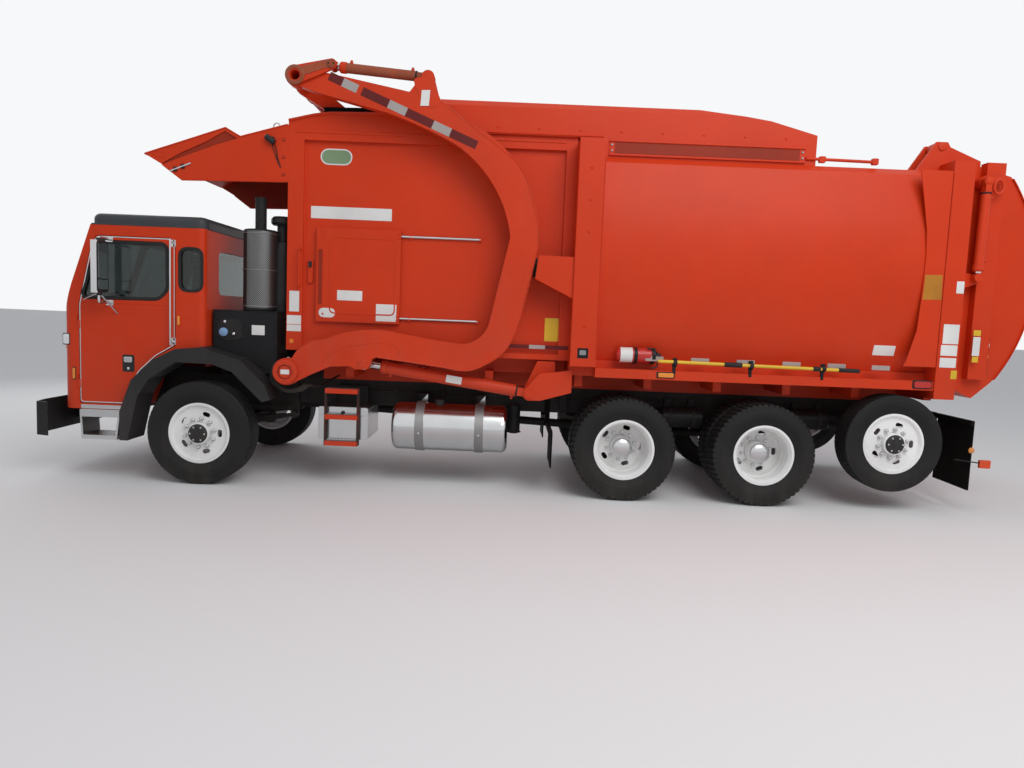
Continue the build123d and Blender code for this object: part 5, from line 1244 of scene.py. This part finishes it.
# %% Clearing pole and extinguisher, on the near side
POLE_ACROSS, POLE_LINE = -1228, (1, 0, -0.0097)
EXTINGUISHER = (-1128, 1437)
work = Work()
for x, z, profile, paint in ((4431, 1393, [(0, 13), (4, 16), (1752, 16), (1754, 14)], "yellow_paint"),
                             (6183, 1376, [(0, 20), (198, 20), (204, 14)], "black_rubber"),
                             (5075, 1386, [(0, 20), (4, 24), (168, 24), (172, 20)], "black_rubber"),
                             (5935, 1378, [(0, 19), (4, 23), (68, 23), (72, 19)], "black_rubber")):
    turned(work, at(x, POLE_ACROSS, z), POLE_LINE, profile, paint, 16)
for x in (4600, 5340, 6040):
    on_side(work, LEFT, x, 1384, 1200, 46, 90, 8, 8, "black_paint", 2)
    turned(work, at(x, POLE_ACROSS, 1384), REARWARD, [(-18, 24), (18, 24)], "black_rubber", 16)
    on_side(work, LEFT, x, 1330, 1180, 30, 120, 22, 6, "black_paint", 2)
bottle = [(0, 20), (8, 48), (30, 66), (60, 72), (330, 72), (360, 62), (375, 34), (392, 26), (404, 26)]
for x, profile, paint, steps in ((4030, bottle, "red_paint", 32),
                                 (4436, [(-6, 30), (10, 32), (40, 22), (44, 1)], "black_plastic", 20),
                                 (4075, [(0, 73.0), (118, 73.0)], "blank_label", 32),
                                 (4225, [(-16, 76), (16, 76)], "black_paint", 32),
                                 (4400, [(-16, 76), (16, 76)], "black_paint", 32)):
    turned(work, at(x, *EXTINGUISHER), REARWARD, profile, paint, steps)
for x in (4225, 4400):
    on_side(work, LEFT, x, 1400, 1010, 40, 100, 60, 8, "black_paint", 2)
bar(work, at([4440, 4400, 4330], [-1150, -1175, -1188], [1460, 1500, 1512]), 8, "black_plastic", 8)
hose = at([4431, 4440, 4425, 4380], [-1150, -1175, -1190, -1196], [1420, 1370, 1330, 1320])
bar(work, smooth_path(hose, 6), 7, "hose_rubber", 8)
work.make("pole_and_extinguisher", "truck", "black_plastic")

# %% [markdown]
# The roof hood covers the packer's path. Its sheet is stiffened by three long folds, and
# the cover plates along its foot are bolted down.

# %% Roof hood fittings
work = Work()
for y in (-640, 0, 640):
    bar(work, at([2240, 4740, 5420, 5880], [y] * 4, [3846, 3846, 3752, 3636]), 10, "orange_paint", 8)
for side in (LEFT, RIGHT):
    for k in range(9):
        peg(work, side, 2400 + 400 * k, 990, 3590, head(10, 7), "orange_paint", 6)
    bar(work, at([2236, 3830], [side * 990] * 2, [3538] * 2), 9, "orange_paint", 8)
work.make("hood_fittings", "truck", "orange_paint")

# %% [markdown]
# The tailgate's back is a curved sheet with ribs. Lamps stand in black panels at its foot,
# reflective tape runs in red and white along its lower edge, and the hinge brackets at its
# top carry capped pins.

# %% Tailgate fittings
FULL_HEIGHT, UPPER_ARC, LOWER_ARC = 2300, 1710.0, 1668.0


def gate_back(height):
    """The gate's rear surface: two arcs that meet upright at the fullest point, in station mm."""
    z = np.asarray(height, float)
    r = np.where(z > FULL_HEIGHT, UPPER_ARC, LOWER_ARC)
    return 8110 - r + np.sqrt(np.maximum(r * r - (z - FULL_HEIGHT) ** 2, 0))


work = Work()
for y in (-1040, -520, 0, 520, 1040):
    z = np.linspace(1330, 3285, 30)
    section = [(-24, 9), (24, 9), (30, -4), (-30, -4)]
    rib = np.stack([at(gate_back(z) + out, y + aside, z) for aside, out in section], 1)
    work.add(rib, grid_faces(30, 4, wrap_columns=True, caps=True), "orange_paint")
for z in (1560, 2300, 3050):
    bar(work, at(float(gate_back(z)), np.linspace(-1045, 1045, 12), z), 12, "orange_paint", 8)
TAPE_HEIGHT = 1470.0
for k in range(14):
    slab(work, at(float(gate_back(TAPE_HEIGHT)) - 2, -938 + 144 * k, TAPE_HEIGHT), (0, 1, 0),
         (0.4, 0, 1.0), 140, 50, 6, 3, "red_paint" if k % 2 else "blank_label", 0.6)
for side in (LEFT, RIGHT):
    slab(work, at(7668, side * 1096, 1560), REAR_X, UP, 86, 380, 6, 10, "black_plastic", 2)
    for z, kind in ((1450, "red_lens"), (1560, "amber_lens"), (1670, "clear_lens")):
        turned(work, at(7673, side * 1096, z), REARWARD, [(0, 40), (8, 38), (16, 26), (19, 0.5)], kind,
               24)
    for z in (2000, 3150):
        turned(work, at(7668, side * 1096, z), REARWARD, [(0, 34), (8, 32), (13, 20), (15, 0.5)],
               "amber_lens", 24)
    peg(work, side, 7136, 968, 3585, [(-4, 42), (8, 40), (10, 30), (11, 0.5)], "arm_paint", 28)
    peg(work, side, 7469, 1226, 3226, [(0, 34), (8, 32), (10, 22), (11, 0.5)], "arm_paint", 24)
    ring = np.radians(np.linspace(0, 360, 33))
    bar(work, at(7574 + 44 * np.cos(ring), side * 1204, 3176 + 66 * np.sin(ring)), 15, "arm_paint", 10)
    side_plate(work, side, [(7500, 3262), (7632, 3268), (7640, 3226), (7506, 3222)], 1195, 10, "arm_paint")
slab(work, at(7700, 0, 1420), REAR_X, np.array([0.35, 0, 0.94]), 420, 150, 30, 12, "blank_label", 1)
for y in (-300, 300):
    grab = smooth_path(at([float(gate_back(1900)) - 4, 8120, 8120, float(gate_back(1700)) - 4], [y] * 4,
                          [1900, 1880, 1720, 1700]), 6)
    bar(work, np.minimum(grab, at(8112, 9999, 9999)), 9, "bright_steel", 12)
for side in (LEFT, RIGHT):
    for x, z, w, h, kind in ((7510, 1787, 70, 54, "yellow_paint"), (7512, 1657, 70, 183, "blank_label"),
                             (7512, 1530, 60, 55, "yellow_paint")):
        on_side(work, side, x, z, 1195.4, w, h, 1.5, 4, kind, 0.5)
work.make("tailgate_fittings", "tailgate", "orange_paint")

# %% Rear lamps on the frame
work = Work()
for side in (LEFT, RIGHT):
    slab(work, at(7575, side * 470, 870), REAR_X, UP, 150, 120, 8, 12, "black_plastic", 2)
    for k, kind in enumerate(("red_lens", "amber_lens")):
        turned(work, at(7583, side * (440 + 62 * k), 870), REARWARD,
               [(0, 26), (8, 24), (13, 14), (15, 0.5)], kind, 20)
    peg(work, side, 7560, 1208, 640, [(-6, 30), (4, 28), (8, 16), (9, 0.5)], "amber_lens", 18)
    for x, z, w, h, kind in ((7243, 1765, 153, 188, "blank_label"), (7237, 1608, 159, 103, "blank_label"),
                             (7237, 1489, 159, 94, "blank_label"), (7290, 2215, 72, 115, "blank_label"),
                             (7305, 1375, 60, 84, "yellow_paint")):
        on_side(work, side, x, z, 1220.4, w, h, 1.5, 5, kind, 0.6)
    bar(work, at([7400, 7700], [side * 1206] * 2, [545, 512]), 6, "black_paint", 8)
    on_side(work, side, 7700, 508, 1190, 108, 80, 30, 8, "tail_mark", 3)
work.make("rear_lamps", "truck", "black_plastic")

# %% [markdown]
# Below the body hang the steps, the polished tank with its bands, air reservoirs, brake
# chambers, valves and the lines between them. The lines are bars carried along smooth
# paths that sag between their clips.

# %% Steps and tank
work = Work()
for z in (960, 700, 436):
    slab(work, at(1351, -1044, z + 24), (1, 0, 0), (0, 1, 0), 304, 72, 3, 4, "black_plastic", 1)
    for k in range(9):
        bar(work, at([1215 + 34 * k] * 2, [-1076, -1012], [z + 28] * 2), 4, "bright_steel", 6)
turned(work, at(2300, -755, 845), UP, [(-8, 60), (10, 60), (16, 54), (34, 54), (38, 48), (39, 1)],
       "black_plastic", 28)
for x in (2114, 2717):
    turned(work, at(x, -755, 600), REARWARD, [(-45, 251), (-45, 255), (45, 255), (45, 251)],
           "strap_steel", 64, hollow=True)
    peg(work, LEFT, x, 1010, 560, [(-6, 12), (12, 12), (14, 9)], "bright_steel", 6)
on_side(work, LEFT, 1356, 588, 1000.2, 470, 232, 3, 14, "polished_alloy", 1)
on_side(work, LEFT, 1356, 752, 1000.2, 496, 76, 9, 12, "polished_alloy", 4)
peg(work, LEFT, 1356, 1003, 736, [(0, 22), (8, 22), (10, 16), (18, 14), (20, 1)], "black_plastic", 20)
work.make("tank_and_steps", "truck", "bright_steel")

# %% Reservoirs, brake chambers and lines
work = Work()
for side in (LEFT, RIGHT):
    for x, y, z, r, long in ((3070, 620, 690, 110, 0), (4841, 560, 770, 105, 1), (6170, 560, 800, 105, 1)):
        if long:
            turned(work, at(x - 240, side * y, z), REARWARD, [(0, 40), (14, 86), (34, r), (446, r),
                                                               (466, 86), (480, 40)], "black_paint", 28)
        else:
            turned(work, at(x, side * y, z - 150), UP, [(0, 40), (14, 80), (30, r * 0.6),
                                                               (290, r * 0.6), (306, 50), (312, 30)],
                   "black_paint", 24)
        for dx in (-120, 120) if long else ():
            turned(work, at(x + dx, side * y, z), REARWARD, [(-14, r + 5), (14, r + 5)], "chassis_steel",
                   28)
            on_side(work, side, x + dx, z + 40, 430, 40, 120, y - 430 - r + 12, 6, "chassis_steel", 2)
    for x in (4155, 5527):
        turned(work, at(x - 190, side * 300, 560), (-1, 0, 0.25), [(0, 74), (40, 80), (46, 86), (56, 86),
                                                                   (62, 80), (150, 76), (165, 50)],
               "chassis_steel", 24)
    turned(work, at(6786 - 170, side * 330, 760), (-1, 0, 0.1), [(0, 70), (40, 76), (46, 82), (56, 82),
                                                                 (62, 76), (120, 70)], "chassis_steel", 24)
    for k, lane in enumerate((0, 26)):
        x = np.linspace(1200, 6900, 40)
        z = 930 - lane + 10 * np.sin((x - 1200) / 5700 * 8 * math.pi)
        bar(work, at(x, side * (438 + 3 * k), z), 8, "hose_rubber", 8)
    for x in np.arange(1300, 7000, 500):
        on_side(work, side, x, 915, 430, 30, 90, 22, 6, "chassis_steel", 2)
for x0, x1, z0, z1, r in ((640, 3950, 700, 560, 45), (4345, 5330, 520, 530, 40)):
    bar(work, at([x0, x1], [0, 0], [z0, z1]), r, "chassis_steel", 20)
for x, z in ((640, 700), (3930, 560), (4360, 522), (5310, 530)):
    turned(work, at(x, 0, z), REARWARD, [(-50, 60), (-30, 78), (30, 78), (50, 60)], "chassis_steel", 20)
work.make("chassis_lines", "truck", "chassis_steel")

# %% Frame bolts and spring clamps
work = Work()
for side in (LEFT, RIGHT):
    for x in np.arange(-900, 7200, 300):
        for z in (800, 970):
            peg(work, side, float(x), 430, z, [(0, 12), (7, 12), (9, 8)], "chassis_steel", 6)
    for x, z in ((0, 598), (4155, 705), (5527, 705), (6786, 826)):
        for dx in (-45, 45):
            bar(work, smooth_path(at([x + dx] * 4, side * np.array([430, 430, 530, 530]),
                                     [z - 120, z + 96, z + 96, z - 120]), 5), 9, "chassis_steel", 8)
work.make("frame_bolts", "truck", "chassis_steel")

# %% [markdown]
# Rubber mud flaps hang behind the wheels and sway a little: their lower edge bows out on
# the grid as a shallow sine, while their top stays in the hanger.

# %% Mud flaps
work = Work()
for station, near, far, low, high in ((3440, 640, 1210, 296, 660), (7560, 600, 1200, 240, 930)):
    for side in (LEFT, RIGHT):
        u, v = np.meshgrid(np.linspace(0, 1, 14), np.linspace(0, 1, 16), indexing="ij")
        y = side * (near + u * (far - near))
        z = high - 8 - v * (high - low - 8)
        bow = 8 * v ** 2 * np.sin(u * math.pi * 1.3 + 0.4)
        for reach, turned_round in ((-4, side == LEFT), (11, side == RIGHT)):
            sheet = at(station + reach + bow * 0.4, y, z)
            work.add(sheet[::-1] if turned_round else sheet, grid_faces(14, 16), "flap_rubber")
        for k in range(5):
            turned(work, at(station + 11, side * (near + 40 + k * (far - near - 80) / 4), high - 26),
                   REARWARD, [(0, 12), (5, 12), (7, 8)], "bright_steel", 6)
work.make("flap_faces", "truck", "flap_rubber")

# %% [markdown]
# Inside the cab the seats are padded: each cushion and back is a crowned closed form with
# a sewn groove down its middle, drawn as a superellipse whose thickness swells towards the
# centre. The steering wheel is a torus.

# %% Seats
def cushion(work, centre, ex, ey, ez, width, long, thick, paint):
    """x^4 + y^4 = 1 outline rings; the face rises as (1 - r^4)^0.5 and dips along the seams."""
    power = 2 / 4.5
    edge = np.sign(circle(56)) * np.abs(circle(56)) ** power
    r = np.array([0.02, 0.2, 0.4, 0.6, 0.75, 0.87, 0.95, 1.0])
    rise = 0.62 + 0.38 * np.sqrt(np.maximum(1 - r ** 6, 0))
    layers = []
    for sign, order in ((-1, slice(None)), (1, slice(None, None, -1))):
        for radius, lift in zip(r[order], rise[order]):
            p = edge * radius
            side_seams = 0.1 * np.exp(-((np.abs(p[:, 0]) - 0.52) / 0.05) ** 2)
            seam = side_seams + 0.07 * np.exp(-((p[:, 1] - 0.1) / 0.05) ** 2)
            h = thick / 2 * lift - seam * thick * 0.4 if sign > 0 else -thick / 2 * (0.9 * lift)
            h = h * (0.55 if radius > 0.99 else 1.0)
            flat = p[:, :1] * width / 2 * np.asarray(ex) + p[:, 1:] * long / 2 * np.asarray(ey)
            layers.append(centre + (flat + np.reshape(h, (-1, 1)) * np.asarray(ez)) / 1000)
    work.add(np.stack(layers), grid_faces(len(layers), len(edge), wrap_columns=True, caps=True), paint)


BELT = np.array([(-0.022, -0.001), (0.022, -0.001), (0.022, 0.001), (-0.022, 0.001)])
work = Work()
for y in (-780, 780):
    cushion(work, at(-345, y, 1612), (0, 1, 0), (-1, 0, 0.02), (0, 0, 1), 446, 470, 110, "seat_fabric")
    cushion(work, at(-122, y, 1950), (0, 1, 0), (0.05, 0, 1), (-1, 0, 0), 440, 660, 105, "seat_fabric")
    cushion(work, at(-106, y, 2225), (0, 1, 0), (0.05, 0, 1), (-1, 0, 0), 270, 150, 90, "seat_fabric")
    slab(work, at(-345, y, 1400), (1, 0, 0), (0, 1, 0), 360, 330, 156, 30, "black_plastic", 6)
    belt = smooth_path(at([-120, -200, -290], [y - 200, y - 60, y + 150], [2200, 1950, 1690]), 8)
    bar(work, belt, 0, "black_plastic", section=BELT)
seat_pads = work.make("seat_pads", "truck", "seat_fabric", angle=60)
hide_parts("seats")

work = Work()
axis = np.array([0.62, 0, 0.78]) / math.hypot(0.62, 0.78)
wheel_centre = at(-1090, -650, 1520) + axis * 0.226
u, v, w = frame_of(axis)
RIM_RADIUS, GRIP_RADIUS = 0.215, 0.017
outward = (circle(48) @ [u, v])[:, None, :]
grip = circle(10) * GRIP_RADIUS
rim = wheel_centre + (RIM_RADIUS + grip[:, :1]) * outward + grip[:, 1:] * w
work.add(rim, grid_faces(48, 10, wrap_rows=True, wrap_columns=True), "black_plastic")
turned(work, wheel_centre, axis, [(-8, 66), (10, 64), (20, 46), (22, 1)], "black_plastic", 28)
for y, z in ((-780, 1560), (-640, 1560), (-500, 1560)):
    turned(work, at(-1142, y, z), (0.85, 0, 0.5), [(0, 44), (8, 44), (10, 38), (6, 36), (6, 1)],
           "bright_steel", 24)
    turned(work, at(-1136, y, z + 2), (0.85, 0, 0.5), [(0, 34), (1, 33), (1.2, 1)], "blank_label", 20)
work.make("dash_and_wheel", "truck", "black_plastic")
